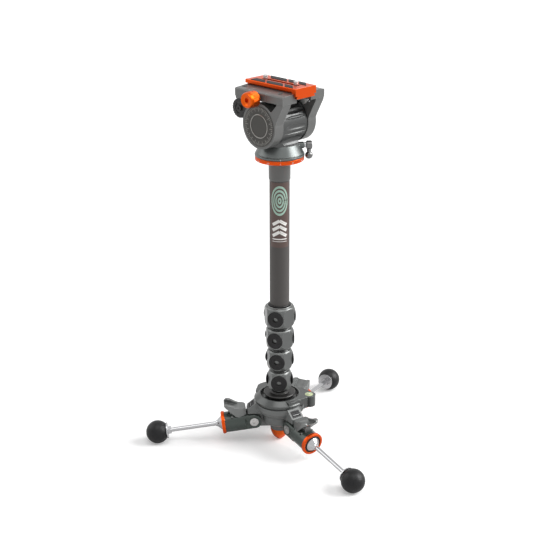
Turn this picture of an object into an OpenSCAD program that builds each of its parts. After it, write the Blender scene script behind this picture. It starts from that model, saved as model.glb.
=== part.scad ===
// Compact camera support: a nested five-section column with a fluid head on top
// and a three-legged foot with a tilting ball base below.
// Millimetres, +Z up, origin on the column axis at the floor, +Y the shooting
// direction, +X the right-hand side of the person behind the camera.

/* [Column] */
// Outer diameter of the widest, topmost tube
tube_d = 28.5; // [26:0.5:32]
// Wall of every tube
tube_wall = 1.2; // [1:0.1:1.5]
// Radial room between one tube and the next
tube_gap = 0.5; // [0.4:0.05:0.7]
// Height of the topmost tube's upper end
tube_top_z = 431.4; // [420:0.2:470]
// Height of a twist lock
lock_h = 33; // [30:0.5:36]
// Height of the dark ring that shows between two twist locks
lock_seam = 1.6; // [1.4:0.1:3]
// How far a twist lock's waist stands out from its tube
lock_bulge = 8.4; // [7.5:0.1:10]
// Diameter of a rubber grip pad on a twist lock
pad_d = 24; // [18:0.5:25]
// How far a grip pad stands out of its flat
pad_proud = 1.4; // [0.8:0.1:2]
// Height of the collar on top of the column
collar_h = 28; // [22:1:32]
// Wall of the collar on top of the column
collar_wall = 1.2; // [1:0.1:2.5]

/* [Foot] */
// Number of legs
leg_count = 3; // [3:1:3]
// Direction of the first leg, from +X towards +Y
leg_start = 78.6; // [68:0.2:88]
// Distance of a leg's pivot from the column axis
leg_pivot_r = 38.6; // [38:0.1:42]
// Height of a leg's pivot
leg_pivot_z = 35; // [34:0.5:38]
// Distance from the column axis to a rubber ball's centre
foot_r = 183.5; // [150:0.5:230]
// Diameter of a rubber ball foot
foot_d = 34.5; // [30:0.1:40]
// How much of each ball is flattened on the floor
foot_flat = 0.45; // [0.3:0.05:0.8]
// Diameter of a leg's sleeve
leg_d = 31; // [29:0.5:33]
// Length of a leg from its pivot to its orange ring
leg_l = 43.5; // [41:0.5:50]
// Diameter of a leg's orange ring
leg_ring_d = 34; // [33:0.5:36]
// Diameter of a steel leg rod
rod_d = 6.5; // [5:0.1:8]
// Diameter of a leg's pivot bolt
pivot_d = 8; // [6:0.5:9]
// Thickness of the hub's tongue inside a leg's fork
tongue_t = 12.4; // [10:0.2:14]

/* [Ball base] */
// Height of the tilting ball's centre
ball_z = 52; // [50:0.5:54]
// Diameter of the tilting ball
ball_d = 28; // [24:0.5:29]
// Diameter of the foot's hub under the locking ring
hub_d = 73; // [70:0.5:76]
// Height of the hub's upper face
hub_top_z = 66.2; // [65:0.1:68]
// Height of the locking ring above the hub
lock_ring_h = 9.9; // [9.5:0.1:11]
// Diameter of the dark disc under the column
flange_d = 47; // [42:0.5:48]
// Diameter of the round spirit level
vial_d = 12; // [10:0.5:13]

/* [Fluid head] */
// Height of the tilt axis above the conical skirt
tilt_rise = 29.9; // [29.8:0.1:38]
// Diameter of the drum between the side plates
drum_d = 60.4; // [57:0.2:61]
// Width of the drum between the side plates
drum_w = 47.6; // [46:0.2:52]
// Thickness of a side plate
side_plate_t = 15.3; // [13:0.1:17]
// Diameter of a side plate's round end
side_plate_d = 62.8; // [61.8:0.2:64]
// Diameter of the graduated ring
degree_ring_d = 68.2; // [66:0.2:72]
// Height of the graduated ring
degree_ring_h = 6.2; // [5:0.1:8]
// Height of the conical skirt that carries the drum
skirt_h = 17.3; // [16:0.1:19]
// Direction of the pan lock, from +X towards +Y
pan_lock_a = 142; // [130:1:150]

/* [Camera plate] */
// Length of the quick-release plate
plate_l = 96; // [86:1:110]
// Width of the quick-release plate
plate_w = 39; // [38:0.5:44]
// Thickness of the quick-release plate with its dovetail
plate_t = 14; // [13.6:0.2:15]
// Height of the plate's upper face above the rails
plate_over_rail = 10.7; // [9:0.1:10.8]
// Room between the side plates' round ends and the platform's underside
platform_gap = 3.6; // [3:0.1:12]
// Height of the rails above the platform's underside
platform_t = 9.1; // [9:0.1:11]
// Length of the rails that hold the plate
rail_l = 91.2; // [84:0.4:96]
// Diameter of a camera screw
screw_d = 6.35; // [6:0.05:6.4]
// Diameter of the clamp knob
knob_d = 22; // [18:0.5:24]

/* [Fits] */
// Radial clearance of a shaft that turns or slides in its bore
run_fit = 0.08; // [0.03:0.01:0.1]
// Clearance of a piece fixed in its seat
seat_fit = 0.02; // [0.01:0.01:0.05]
// Room between faces that pass each other
face_gap = 0.4; // [0.3:0.05:0.6]

/* [Hidden] */
$fn = 64;
eps = 0.01;
through = 200;

// Column: sections count from the widest, topmost tube down
sections = 5;
tube_step = 2 * (tube_wall + tube_gap);
function tube_r(i) = (tube_d - tube_step * (i - 1)) / 2;
function tube_bore_r(i) = tube_r(i) - tube_wall;
boss_h = 2.4;
boss_gap = 0.6;
flange_t = 3;
// The flange hangs in the locking ring's dish, level with the ring's rim
ring_base_z = hub_top_z + face_gap;
ring_top_z = ring_base_z + lock_ring_h;
flange_z = ring_top_z;
flange_top_z = flange_z + flange_t;
column_z = flange_top_z + boss_h + boss_gap;
lock_pitch = lock_h + lock_seam;
function lock_z(i) = column_z + (sections - 1 - i) * lock_pitch;
lock_base_z = 13.6;
lock_base_wall = 2.2;
function lock_r(i) = tube_r(i) + lock_bulge;
lock_flat = 0.905;
function lock_flat_r(i) = lock_r(i) * lock_flat;
lock_seam_gap = 0.4;
lock_low_z = 10;
lock_high_z = 8;
lock_end_h = 0.6;
// Each lock was last turned to its own angle
lock_angles = [27.9, 22.9, 31.2, 41.6];
tube_top_step = 3;
collar_z = tube_top_z - collar_h + 5;
collar_top_z = collar_z + collar_h;
inner_top_z = collar_z - 3;
function tube_end_z(i) = i == 1 ? tube_top_z : inner_top_z - tube_top_step * i;
function tube_start_z(i) = i == sections ? flange_top_z : lock_z(i) + lock_base_z;

// Foot
leg_pitch = 360 / leg_count;
function leg_angle(i) = leg_start + leg_pitch * (i - 1);
foot_sphere_r = foot_d / 2;
foot_z = foot_sphere_r - foot_flat;
leg_reach = sqrt(pow(foot_r - leg_pivot_r, 2) + pow(leg_pivot_z - foot_z, 2));
leg_slope = atan((leg_pivot_z - foot_z) / (foot_r - leg_pivot_r));
leg_body_r = leg_d / 2;
cheek_r = 11;
cheek_w = 26;
fork_end = 12.8;
leg_ring_l = 5;
leg_boss_r = leg_ring_d / 2 - 3.6;
foot_seat = 14;
washer_r = 12;
washer_t = 1.6;
nut_w = 11;
nut_t = 5;
cone_l = 10.5;
cone_r = 10.5;
bolt_cap_r = 6.5;
bolt_cap_t = 2.2;
cap_counterbore = 1.5;
tongue_r = cheek_r - 0.5;
lever_pin_s = 31.8;
lever_pin_h = 11.4;
lever_pin_r = 1.75;
lever_web_w = 10;
lever_slot_w = lever_web_w + 1.2;
lever_over = 0.5;
lever_l = leg_l - 1;
block_z = leg_pivot_z + cheek_r + 0.8;
block_face_r = leg_pivot_r + 11;
block_w = 20;
housing_r = 13.75;
cap_h = 18.7;
hub_rebate_h = 2.2;
hub_rebate = 2.4;
cap_stud_r = 4.9;
insert_w = 15;

// Ball base
ball_r = ball_d / 2;
seat_wall = 4;
socket_r = ball_r + seat_wall + run_fit;
seat_half_h = 9;
stem_r = 7;
ring_hole_r = 11.5;
dish_r = flange_d / 2 + 5.2;
dish_floor_z = ring_base_z + 4.6;
pan_pin_r = 4.2;
pan_pin_h = 16;
plug_h = 20;
ring_r = hub_d / 2 + 1.5;
vial_a = 128.6;
vial_r = ring_r + 6.2;
vial_depth = 4.5;
lobe_r = 9.6;
lobe_drop = 7.4;
rear_lobe_a = 259.6;
rear_lobe_out = 7.4;
rear_lobe_half_a = 36;

// Head
head_z = collar_top_z;
skirt_z = head_z + degree_ring_h + face_gap;
skirt_top_z = skirt_z + skirt_h;
tilt_z = skirt_top_z + tilt_rise;
skirt_top_r = 26.4;
skirt_r = degree_ring_d / 2 + 0.4;
spigot_r = 15;
spigot_h = 12.5;
stud_r = 4.76;
stud_h = 11;
side_x = drum_w / 2 + face_gap;
side_out_x = side_x + side_plate_t;
cartridge_r = 14;
axle_r = 9;
axle_reach = side_x + 8;
bearing_w = 4;
cap_r = side_plate_d / 2 - 3.4;
cap_depth = 2.5;
dial_r = 15.9;
rosette_y = -37.8;
rosette_z = tilt_z + 18.8;
rosette_x = side_out_x - 2.4;
rosette_r = 13.8;
rosette_teeth = 24;
pan_lock_z = skirt_z + 13;
lever_hub_r = 6;
lever_boss_r = 4.6;
lever_stud_r = 2.5;
tilt_lock_z = tilt_z - 20;
pan_arm = 14.6;
tilt_arm = 13.5;
lock_ball_r = 5.4;

// Platform and plate
platform_z = tilt_z + side_plate_d / 2 + platform_gap;
rail_top_z = platform_z + platform_t;
plate_top_z = rail_top_z + plate_over_rail;
channel_z = plate_top_z - plate_t;
rail_out_x = side_out_x + 0.5;
plate_y = 1.5;
plate_flange_t = 5.4;
plate_end_l = 8;
plate_end_over = 0.3;
plate_foot_x = plate_w / 2 - 2.2;
plate_neck_x = plate_w / 2 - 4.2;
rail_lip = 0.4;
jaw_y = [-19.5, 13];
knob_y = -3.5;
knob_z = channel_z - 2.8;
clamp_stud_r = 2;
knob_l = 18;
knob_neck_l = 2;
button_y = 20;
button_r = 2.4;
button_travel = 2.5;
slot_half_l = 35;
slot_r = screw_d / 2 + 0.2;
screw_head_r = 6.5;
screw_head_t = 3;
screw_head_gap = 0.3;
screw_y = [30.5, -27];
screw_proud = 5.6;
screw_chamfer = 0.6;
screw_neck_r = 2.6;
pad_t = 1.2;
pad_recess = 0.6;
thread_z = plate_top_z + pad_t - pad_recess + 0.2;
pad_in_x = 7.4;
pad_out_x = 18.4;
accessory_y = [28, -39.5];
accessory_x = 27;
accessory_r = 3.175;
accessory_depth = 7;
accessory_mouth = 1;

// A cylinder lying along X from x0 to x1
module bar_x(r, x0, x1) {
  translate([x0, 0, 0]) rotate([0, 90, 0]) cylinder(r = r, h = x1 - x0);
}

// A cylinder lying along Y, centred
module bar_y(r, w) {
  rotate([90, 0, 0]) cylinder(r = r, h = w, center = true);
}

// A side profile drawn in X and Z, given a width along Y, centred
module side_profile(w) {
  rotate([90, 0, 0]) linear_extrude(w, center = true) children();
}

// A profile drawn in Y and Z, given a thickness along X from x0
module end_profile(x0, t) {
  translate([x0, 0, 0]) rotate([90, 0, 90]) linear_extrude(t) children();
}

// A ring of revolution about the column axis
module tube_ring(r_out, r_in, z0, z1) {
  translate([0, 0, z0]) difference() {
    cylinder(r = r_out, h = z1 - z0);
    translate([0, 0, -1]) cylinder(r = r_in, h = z1 - z0 + 2);
  }
}

// Turned to face one leg
module at_leg(i) {
  rotate([0, 0, leg_angle(i)]) children();
}

// A leg's own frame: X outwards along the leg, Z square to it, origin on its pivot
module leg_frame(i) {
  at_leg(i) translate([leg_pivot_r, 0, leg_pivot_z]) rotate([0, leg_slope, 0]) children();
}

// Hub of the foot: turned body, three tongues and the blocks above them
module hub_body() {
  rotate_extrude() polygon([
    [0, cap_h], [housing_r - 0.8, cap_h], [housing_r, cap_h + 0.8], [housing_r, 26],
    [17, 28.6], [22.5, 30.6], [25.6, 33.5], [26.4, 37], [26.4, block_z - 2],
    [hub_d / 2 - 3, block_z + 5], [hub_d / 2, block_z + 10],
    [hub_d / 2, hub_top_z - hub_rebate_h - 0.6],
    [hub_d / 2 - 0.6, hub_top_z - hub_rebate_h],
    [hub_d / 2 - hub_rebate, hub_top_z - hub_rebate_h],
    [hub_d / 2 - hub_rebate, hub_top_z], [0, hub_top_z]]);
}

module hub_tongue() {
  side_profile(tongue_t) difference() {
    union() {
      translate([leg_pivot_r, leg_pivot_z]) circle(r = tongue_r);
      translate([socket_r - 4, leg_pivot_z - tongue_r])
        square([leg_pivot_r - socket_r + 4, 2 * tongue_r + 1.5]);
    }
    translate([leg_pivot_r, leg_pivot_z]) circle(r = pivot_d / 2 + seat_fit);
  }
}

// The insert's seat is a slanted plane on the block's outer shoulder
insert_slope = 40;
insert_r = block_face_r - 7;
insert_z = hub_top_z - 7.2;
module insert_frame() {
  translate([insert_r, 0, insert_z]) rotate([0, insert_slope, 0]) children();
}

module hub_block() {
  intersection() {
    side_profile(block_w) polygon([
      [socket_r, block_z], [block_face_r - 1, block_z], [block_face_r, block_z + 1],
      [block_face_r, hub_top_z - 13], [block_face_r - 15, hub_top_z - 0.4],
      [socket_r, hub_top_z - 0.4]]);
    translate([block_face_r - 30, 0, 0]) cylinder(r = 30, h = 100);
  }
}

module hub() color([0.44, 0.46, 0.45]) difference() {
  union() {
    hub_body();
    for (i = [1 : leg_count]) at_leg(i) {
      hub_tongue();
      hub_block();
    }
  }
  translate([0, 0, ball_z]) sphere(r = socket_r);
  translate([0, 0, ball_z]) cylinder(r = socket_r, h = through);
  translate([0, 0, cap_h - 1]) cylinder(r = cap_stud_r + seat_fit, h = 12.5);
  for (i = [1 : leg_count]) at_leg(i) insert_frame()
    translate([-5.5, -insert_w / 2, -2.2]) cube([11, insert_w, 10]);
}

// Ribbed covers in the three shoulders of the hub
module lug_inserts() color([0.09, 0.09, 0.10]) for (i = [1 : leg_count]) at_leg(i)
  insert_frame() difference() {
    translate([-5.5 + seat_fit, -insert_w / 2 + seat_fit, -2.2])
      cube([11 - 2 * seat_fit, insert_w - 2 * seat_fit, 2.4]);
    for (k = [-1 : 1]) translate([k * 3 - 0.6, -insert_w / 2 + 1.5, -0.8])
      cube([1.2, insert_w - 3, 2]);
  }

// Screw-in cap whose small flat tip touches the floor on the column axis
module bottom_cap() color([0.86, 0.30, 0.06]) rotate_extrude() polygon([
  [0, 0], [2.5, 0], [4.6, 0.8], [9, 5.2], [11.8, 10], [12.8, 13.2], [13, cap_h - 3.4],
  [13.6, cap_h - 3], [13.6, cap_h], [cap_stud_r, cap_h], [cap_stud_r, cap_h + 10], [0, cap_h + 10]]);

module pivot_bolts() color([0.80, 0.80, 0.80]) for (i = [1 : leg_count]) at_leg(i)
  translate([leg_pivot_r, 0, leg_pivot_z]) {
    bar_y(pivot_d / 2, cheek_w - 2);
    for (side = [-1, 1])
      translate([0, side * (cheek_w / 2 - cap_counterbore + 0.1 + bolt_cap_t / 2), 0])
        difference() {
          bar_y(bolt_cap_r, bolt_cap_t);
          translate([0, side * bolt_cap_t / 2, 0]) bar_y(2.3, 2.4);
        }
  }

// Leg sleeve with its fork, the lever's slot and the rod's bore
module leg_body(i) color([0.30, 0.34, 0.33]) leg_frame(i) difference() {
  union() {
    intersection() {
      side_profile(cheek_w) union() {
        circle(r = cheek_r);
        translate([0, -cheek_r]) square([fork_end + 4, 2 * cheek_r]);
      }
      bar_x(leg_body_r + 0.8, -cheek_r - 1, fork_end + 4);
    }
    rotate([0, 90, 0]) rotate_extrude() polygon([
      [0, 7.5], [cheek_r + 0.6, 7.5], [leg_body_r, 13.5], [leg_body_r, leg_l],
      [leg_boss_r, leg_l], [leg_boss_r, leg_l + leg_ring_l - 1],
      [0, leg_l + leg_ring_l - 1]]);
  }
  translate([(fork_end - 40) / 2, 0, 0])
    cube([fork_end + 40, tongue_t + 2 * face_gap, 60], center = true);
  bar_y(pivot_d / 2 + run_fit, through);
  for (side = [-1, 1]) translate([0, side * (cheek_w / 2), 0])
    bar_y(bolt_cap_r + 0.6, 2 * cap_counterbore);
  translate([fork_end - 1, -lever_slot_w / 2, 6.8])
    cube([lever_pin_s + 5 - fork_end + 1, lever_slot_w, 20]);
  translate([lever_pin_s, 0, lever_pin_h]) bar_y(lever_pin_r + run_fit, through);
  bar_x(rod_d / 2 + seat_fit, fork_end + 5, leg_l + leg_ring_l);
}

module leg_ring(i) color([0.90, 0.35, 0.10]) leg_frame(i) difference() {
  union() {
    bar_x(leg_ring_d / 2 - 0.8, leg_l + seat_fit, leg_l + leg_ring_l);
    bar_x(leg_ring_d / 2, leg_l + 0.7, leg_l + leg_ring_l - 0.7);
  }
  bar_x(leg_boss_r + seat_fit, leg_l - 1, leg_l + leg_ring_l + 1);
}

// Steel rod with its cone, and the nut and washer that hold the rubber ball
rod_end = leg_reach - foot_seat;
module leg_rod(i) color([0.82, 0.82, 0.84]) leg_frame(i) {
  bar_x(rod_d / 2, fork_end + 5.5, rod_end + 10);
  translate([leg_l + leg_ring_l - 1 + seat_fit, 0, 0]) rotate([0, 90, 0])
    rotate_extrude() polygon([
      [0, 0], [cone_r - 0.4, 0], [cone_r, 0.6], [cone_r, 1.6], [7.6, 5], [5.1, 7.6],
      [rod_d / 2 + 0.5, cone_l], [0, cone_l]]);
  translate([rod_end - washer_t - nut_t, 0, 0]) rotate([0, 90, 0]) difference() {
    cylinder(d = nut_w / cos(30), h = nut_t - seat_fit, $fn = 6);
    translate([0, 0, -1]) cylinder(r = rod_d / 2 + seat_fit, h = nut_t + 2);
  }
  translate([rod_end - washer_t, 0, 0]) rotate([0, 90, 0]) difference() {
    cylinder(r = washer_r, h = washer_t - seat_fit);
    translate([0, 0, -1]) cylinder(r = rod_d / 2 + seat_fit, h = washer_t + 2);
  }
}

module foot_ball(i) color([0.10, 0.10, 0.10]) difference() {
  leg_frame(i) difference() {
    translate([leg_reach, 0, 0]) sphere(r = foot_sphere_r);
    translate([rod_end - through, -through / 2, -through / 2]) cube(through);
    bar_x(rod_d / 2 + seat_fit, rod_end - 1, rod_end + 10.5);
  }
  translate([-through * 2, -through * 2, -through]) cube([through * 4, through * 4, through]);
}

// Release lever: block by the hub, saddle over the sleeve and flared paddle
module lever_side() {
  polygon([
    [10.2, 9], [10.2, 21.6], [11.2, 22.9], [13.5, 23.8], [20, 24.6], [26, 27.2],
    [lever_l - 11, 31], [lever_l - 5.6, 33.2], [lever_l - 2.6, 33.2],
    [lever_l - 1, 32], [lever_l - 1.4, 29.8], [lever_l - 5.6, 26.2],
    [lever_l - 9.6, 21], [28.6, 16.4], [26, 12.6], [22, 10.4], [16, 9]]);
}

module lever_plan() {
  polygon([
    [9, -8.6], [14, -10.6], [22, -12], [28, -13.6], [lever_l - 8, -14.2],
    [lever_l - 3.8, -12.6], [lever_l - 1.2, -9], [lever_l, -4], [lever_l, 4],
    [lever_l - 1.2, 9], [lever_l - 3.8, 12.6], [lever_l - 8, 14.2], [28, 13.6],
    [22, 12], [14, 10.6], [9, 8.6]]);
}

module release_lever(i) color([0.42, 0.45, 0.44]) leg_frame(i) {
  difference() {
    intersection() {
      side_profile(30) lever_side();
      linear_extrude(40) lever_plan();
    }
    bar_x(leg_body_r + lever_over, 0, leg_l);
    translate([25, 0, 47]) bar_y(22.6, 16);
  }
  side_profile(lever_web_w) polygon([
    [10.4, 18], [10.4, 8.6], [11, 6.2], [12.2, 7.6], [14, 14.4], [26, 14.4],
    [lever_pin_s - 3.4, lever_pin_h], [lever_pin_s + 3.4, lever_pin_h],
    [lever_pin_s + 1, 20], [22, 20]]);
  translate([lever_pin_s, 0, lever_pin_h]) {
    bar_y(3.5, lever_web_w);
    bar_y(lever_pin_r, 2 * sqrt(pow(leg_body_r, 2) - pow(lever_pin_h, 2)) - 0.2);
  }
}

// Locking ring: its neck presses on the ball seat, its lobes are the grips
module lobe_plan() {
  rotate([0, 0, vial_a]) {
    translate([vial_r, 0]) circle(r = lobe_r);
    polygon([[0, -20], [ring_r * cos(62), -ring_r * sin(62)],
      [vial_r - 1.5, -lobe_r + 0.1], [vial_r, 0], [vial_r + 1.2, lobe_r - 0.1],
      [ring_r * cos(34), ring_r * sin(34)], [0, 20]]);
  }
}

module rear_lobe_plan() {
  rotate([0, 0, rear_lobe_a]) polygon([[0, -20],
    [ring_r * cos(rear_lobe_half_a), -ring_r * sin(rear_lobe_half_a)],
    [ring_r + rear_lobe_out - 2.6, -10.5], [ring_r + rear_lobe_out - 0.7, -7],
    [ring_r + rear_lobe_out, -2.6], [ring_r + rear_lobe_out, 2.6],
    [ring_r + rear_lobe_out - 0.7, 7], [ring_r + rear_lobe_out - 2.6, 10.5],
    [ring_r * cos(rear_lobe_half_a), ring_r * sin(rear_lobe_half_a)], [0, 20]]);
}

module lock_ring() color([0.47, 0.49, 0.48]) difference() {
  union() {
    rotate_extrude() polygon([
      [0, ring_base_z], [ring_r - 0.8, ring_base_z], [ring_r, ring_base_z + 0.8],
      [ring_r, ring_base_z + 3.2], [ring_r - 0.8, ring_base_z + 4.2],
      [dish_r + 1.6, ring_top_z - 0.3], [dish_r + 0.9, ring_top_z], [0, ring_top_z]]);
    translate([0, 0, ring_base_z]) linear_extrude(lock_ring_h - 0.6) lobe_plan();
    translate([0, 0, ring_base_z - lobe_drop]) intersection() {
      linear_extrude(lobe_drop + 1) lobe_plan();
      translate([0, 0, -1]) rotate([0, 0, vial_a])
        translate([hub_d / 2 + 1.2, -20, 0]) cube([40, 40, 30]);
    }
    translate([0, 0, ring_base_z + 0.8]) linear_extrude(lock_ring_h - 3) rear_lobe_plan();
    cylinder_neck();
  }
  translate([0, 0, ball_z]) sphere(r = socket_r);
  cylinder(r = ring_hole_r, h = through);
  translate([0, 0, dish_floor_z]) cylinder(r = dish_r, h = through);
  tube_ring(hub_d / 2 + 1, socket_r, 0, ring_base_z);
  rotate([0, 0, vial_a]) translate([vial_r, 0, ring_top_z - 0.6 - vial_depth])
    cylinder(r = vial_d / 2 + seat_fit, h = through);
}

module cylinder_neck() {
  translate([0, 0, ball_z + 4]) cylinder(r = socket_r - run_fit, h = ring_base_z - ball_z);
}

module bubble_level() color([0.80, 0.86, 0.55]) rotate([0, 0, vial_a])
  translate([vial_r, 0, ring_top_z - 0.6 - vial_depth]) {
    cylinder(r = vial_d / 2, h = vial_depth + 0.2);
    translate([0, 0, vial_depth]) cylinder(r1 = vial_d / 2 - 1, r2 = vial_d / 2 - 2.4, h = 0.9);
  }

// Floating seat round the ball
module ball_seat() color([0.75, 0.73, 0.66]) translate([0, 0, ball_z]) intersection() {
  difference() {
    sphere(r = socket_r - run_fit);
    sphere(r = ball_r + run_fit);
  }
  cylinder(r = 2 * socket_r, h = 2 * seat_half_h, center = true);
}

module tilt_ball() color([0.70, 0.71, 0.72]) {
  translate([0, 0, ball_z]) sphere(r = ball_r);
  translate([0, 0, ball_z + 8]) cylinder(r = stem_r, h = flange_z - ball_z - 8 - 0.3);
  translate([0, 0, flange_z - 1]) cylinder(r = pan_pin_r, h = pan_pin_h);
}

module column_flange() color([0.16, 0.16, 0.16]) difference() {
  union() {
    rotate_extrude() polygon([
      [0, flange_z], [flange_d / 2 - 0.6, flange_z], [flange_d / 2, flange_z + 0.6],
      [flange_d / 2, flange_top_z - 0.8], [flange_d / 2 - 0.8, flange_top_z],
      [0, flange_top_z]]);
    translate([0, 0, flange_top_z - eps]) cylinder(r1 = 13.6, r2 = 12.4, h = boss_h);
    translate([0, 0, flange_z]) cylinder(r = tube_bore_r(sections) - seat_fit, h = plug_h);
  }
  translate([0, 0, flange_z - 1]) cylinder(r = pan_pin_r + run_fit, h = plug_h + 2);
  tube_ring(tube_r(sections) + seat_fit, tube_bore_r(sections) - seat_fit,
    tube_start_z(sections), 200);
}

module tube(i) color([0.20, 0.19, 0.19])
  tube_ring(tube_r(i), tube_bore_r(i), tube_start_z(i), tube_end_z(i));

// Threaded bush and split collet under each twist lock, and the sliding guide
// on top of each inner tube
module tube_bush(i) color([0.07, 0.07, 0.07]) {
  if (i < sections) {
    tube_ring(tube_r(i) + lock_base_wall, tube_r(i) + seat_fit,
      tube_start_z(i), lock_z(i) + lock_pitch - lock_seam_gap);
    difference() {
      tube_ring(tube_r(i), tube_r(i + 1) + run_fit, lock_z(i) + 1.2,
        tube_start_z(i) - seat_fit);
      translate([0, -0.8, lock_z(i)]) cube([through, 1.6, lock_base_z + 1]);
    }
  }
  if (i > 1)
    tube_ring(tube_bore_r(i - 1) - run_fit, tube_r(i) + seat_fit,
      tube_end_z(i) - 21, tube_end_z(i) - 1);
}

// Barrel-shaped twist lock, flattened on six sides
module lock_barrel(i) {
  r = lock_r(i);
  neck = tube_r(i) + lock_base_wall + 1.2;
  rotate_extrude() polygon(concat(
    [[0, 0], [neck - 1.2, 0]],
    [for (a = [-60 : 15 : 0]) [neck - 0.6 + (r - neck + 0.6) * cos(a * 1.5),
      lock_low_z + (lock_low_z - lock_end_h) * sin(a * 1.5)]],
    [for (a = [0 : 15 : 60]) [neck + (r - neck) * cos(a * 1.5), 
      lock_h - lock_high_z + (lock_high_z - lock_end_h) * sin(a * 1.5)]],
    [[neck - 0.4, lock_h], [0, lock_h]]));
}

module twist_lock(i) color([0.50, 0.51, 0.50])
  translate([0, 0, lock_z(i)]) rotate([0, 0, lock_angles[i - 1]]) difference() {
    intersection() {
      lock_barrel(i);
      rotate([0, 0, 30]) translate([0, 0, -1])
        cylinder(r = lock_flat_r(i) / cos(30), h = lock_h + 2, $fn = 6);
    }
    translate([0, 0, -1]) cylinder(r = tube_r(i) + run_fit, h = lock_h + 2);
    translate([0, 0, lock_base_z - run_fit])
      cylinder(r = tube_r(i) + lock_base_wall + run_fit, h = lock_h);
    for (k = [0 : 2]) rotate([0, 0, 120 * k]) translate([0, 0, lock_h / 2])
      bar_x(pad_d / 2 + seat_fit, lock_flat_r(i) - 1, lock_flat_r(i) + 10);
  }

module grip_pads(i) color([0.13, 0.13, 0.13])
  translate([0, 0, lock_z(i)]) rotate([0, 0, lock_angles[i - 1]])
    for (k = [0 : 2]) rotate([0, 0, 120 * k]) translate([0, 0, lock_h / 2]) difference() {
      union() {
        bar_x(pad_d / 2, lock_flat_r(i) - 1 + seat_fit, lock_flat_r(i) + pad_proud - 0.7);
        translate([lock_flat_r(i) + pad_proud - 0.7, 0, 0]) rotate([0, 90, 0])
          cylinder(r1 = pad_d / 2, r2 = pad_d / 2 - 1, h = 0.7);
      }
      bar_x(3.5, 0, through);
    }

// Collar glued on the column, with the stud that the head screws on
module top_collar() color([0.22, 0.22, 0.22]) difference() {
  union() {
    rotate_extrude() polygon([
      [0, collar_z], [tube_d / 2 + collar_wall - 0.7, collar_z],
      [tube_d / 2 + collar_wall - 0.2, collar_z + 0.8],
      [tube_d / 2 + collar_wall, collar_top_z - 3], [tube_d / 2 + collar_wall + 0.6, collar_top_z],
      [0, collar_top_z]]);
    translate([0, 0, collar_top_z - 1]) cylinder(r = stud_r, h = stud_h + 1);
  }
  translate([0, 0, collar_z - 1]) cylinder(r = tube_d / 2 + seat_fit, h = tube_top_z - collar_z + 1);
}

// Base of the head: graduated ring and the spigot that the head pans on
module degree_ring() color([0.86, 0.33, 0.10]) difference() {
  union() {
    rotate_extrude() polygon([
      [0, head_z], [degree_ring_d / 2 - 1.6, head_z], [degree_ring_d / 2, head_z + 1],
      [degree_ring_d / 2, head_z + degree_ring_h - 0.6],
      [degree_ring_d / 2 - 0.6, head_z + degree_ring_h], [0, head_z + degree_ring_h]]);
    translate([0, 0, head_z]) cylinder(r = spigot_r, h = degree_ring_h + spigot_h);
  }
  translate([0, 0, head_z - 1]) cylinder(r = stud_r + seat_fit, h = stud_h + 2);
}

module pan_housing() color([0.50, 0.54, 0.53]) difference() {
  union() {
    rotate_extrude() polygon([
      [0, skirt_z], [skirt_r - 0.6, skirt_z], [skirt_r, skirt_z + 0.6],
      [skirt_r, skirt_z + 2.6], [skirt_r - 1.5, skirt_z + 3.6],
      [skirt_r - 1, skirt_z + 4.6], [skirt_top_r + 0.4, skirt_top_z - 1.2],
      [skirt_top_r - 0.4, skirt_top_z], [0, skirt_top_z]]);
    rotate([0, 0, pan_lock_a]) translate([0, 0, pan_lock_z])
      bar_x(lever_boss_r, skirt_top_r + 0.4, 33.5);
  }
  for (side = [0, 1]) mirror([side, 0, 0]) translate([0, 0, tilt_z])
    bar_x(side_plate_d / 2 + 0.5, side_x - face_gap, side_out_x + 5);
  translate([0, 0, skirt_z - 1])
    cylinder(r = spigot_r + run_fit, h = spigot_h + 1.2);
  rotate([0, 0, pan_lock_a]) translate([0, 0, pan_lock_z])
    bar_x(lever_stud_r + run_fit, spigot_r + 5, 40);
}

// Lock lever on a stud along X: hub, stem and ball end hanging down
module lock_lever(stud_x, hub_x, arm) {
  bar_x(lever_stud_r, stud_x, hub_x + 1);
  bar_x(lever_hub_r - 0.8, hub_x, hub_x + 8);
  bar_x(lever_hub_r, hub_x + 0.8, hub_x + 7.2);
  translate([hub_x + 4, 0, -arm]) {
    cylinder(r1 = 2.3, r2 = 3.6, h = arm);
    sphere(r = lock_ball_r);
  }
}

module pan_lock_lever() color([0.45, 0.46, 0.46]) rotate([0, 0, pan_lock_a])
  translate([0, 0, pan_lock_z]) lock_lever(spigot_r + 6.5, 37, pan_arm);

module tilt_lock_lever() color([0.45, 0.46, 0.46]) rotate([0, 0, -90])
  translate([0, 0, tilt_lock_z]) lock_lever(17.5, 34, tilt_arm);

// Drum of the head on its round foot. Each of its three flutes is a shallow scoop
// above a crest and a narrow undercut below it, both cut by a spindle along X.
crest_a = [27, -14.3, -51];
flute_x = -2;
spindle_tip = 0.5;
module spindle(reach, r) {
  bow_r = (reach * reach + r * r) / (2 * r);
  rotate([0, 90, 0]) rotate_extrude() intersection() {
    translate([r - bow_r, 0]) circle(r = bow_r, $fn = 200);
    translate([0, -reach + spindle_tip]) square([r, 2 * (reach - spindle_tip)]);
  }
}

module flute() {
  rotate([10.4, 0, 0]) translate([flute_x, drum_d / 2 + 5.2, 0]) spindle(36, 7.5);
  rotate([-6, 0, 0]) translate([flute_x, drum_d / 2 + 0.1, 0]) spindle(21.5, 2.6);
}

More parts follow.
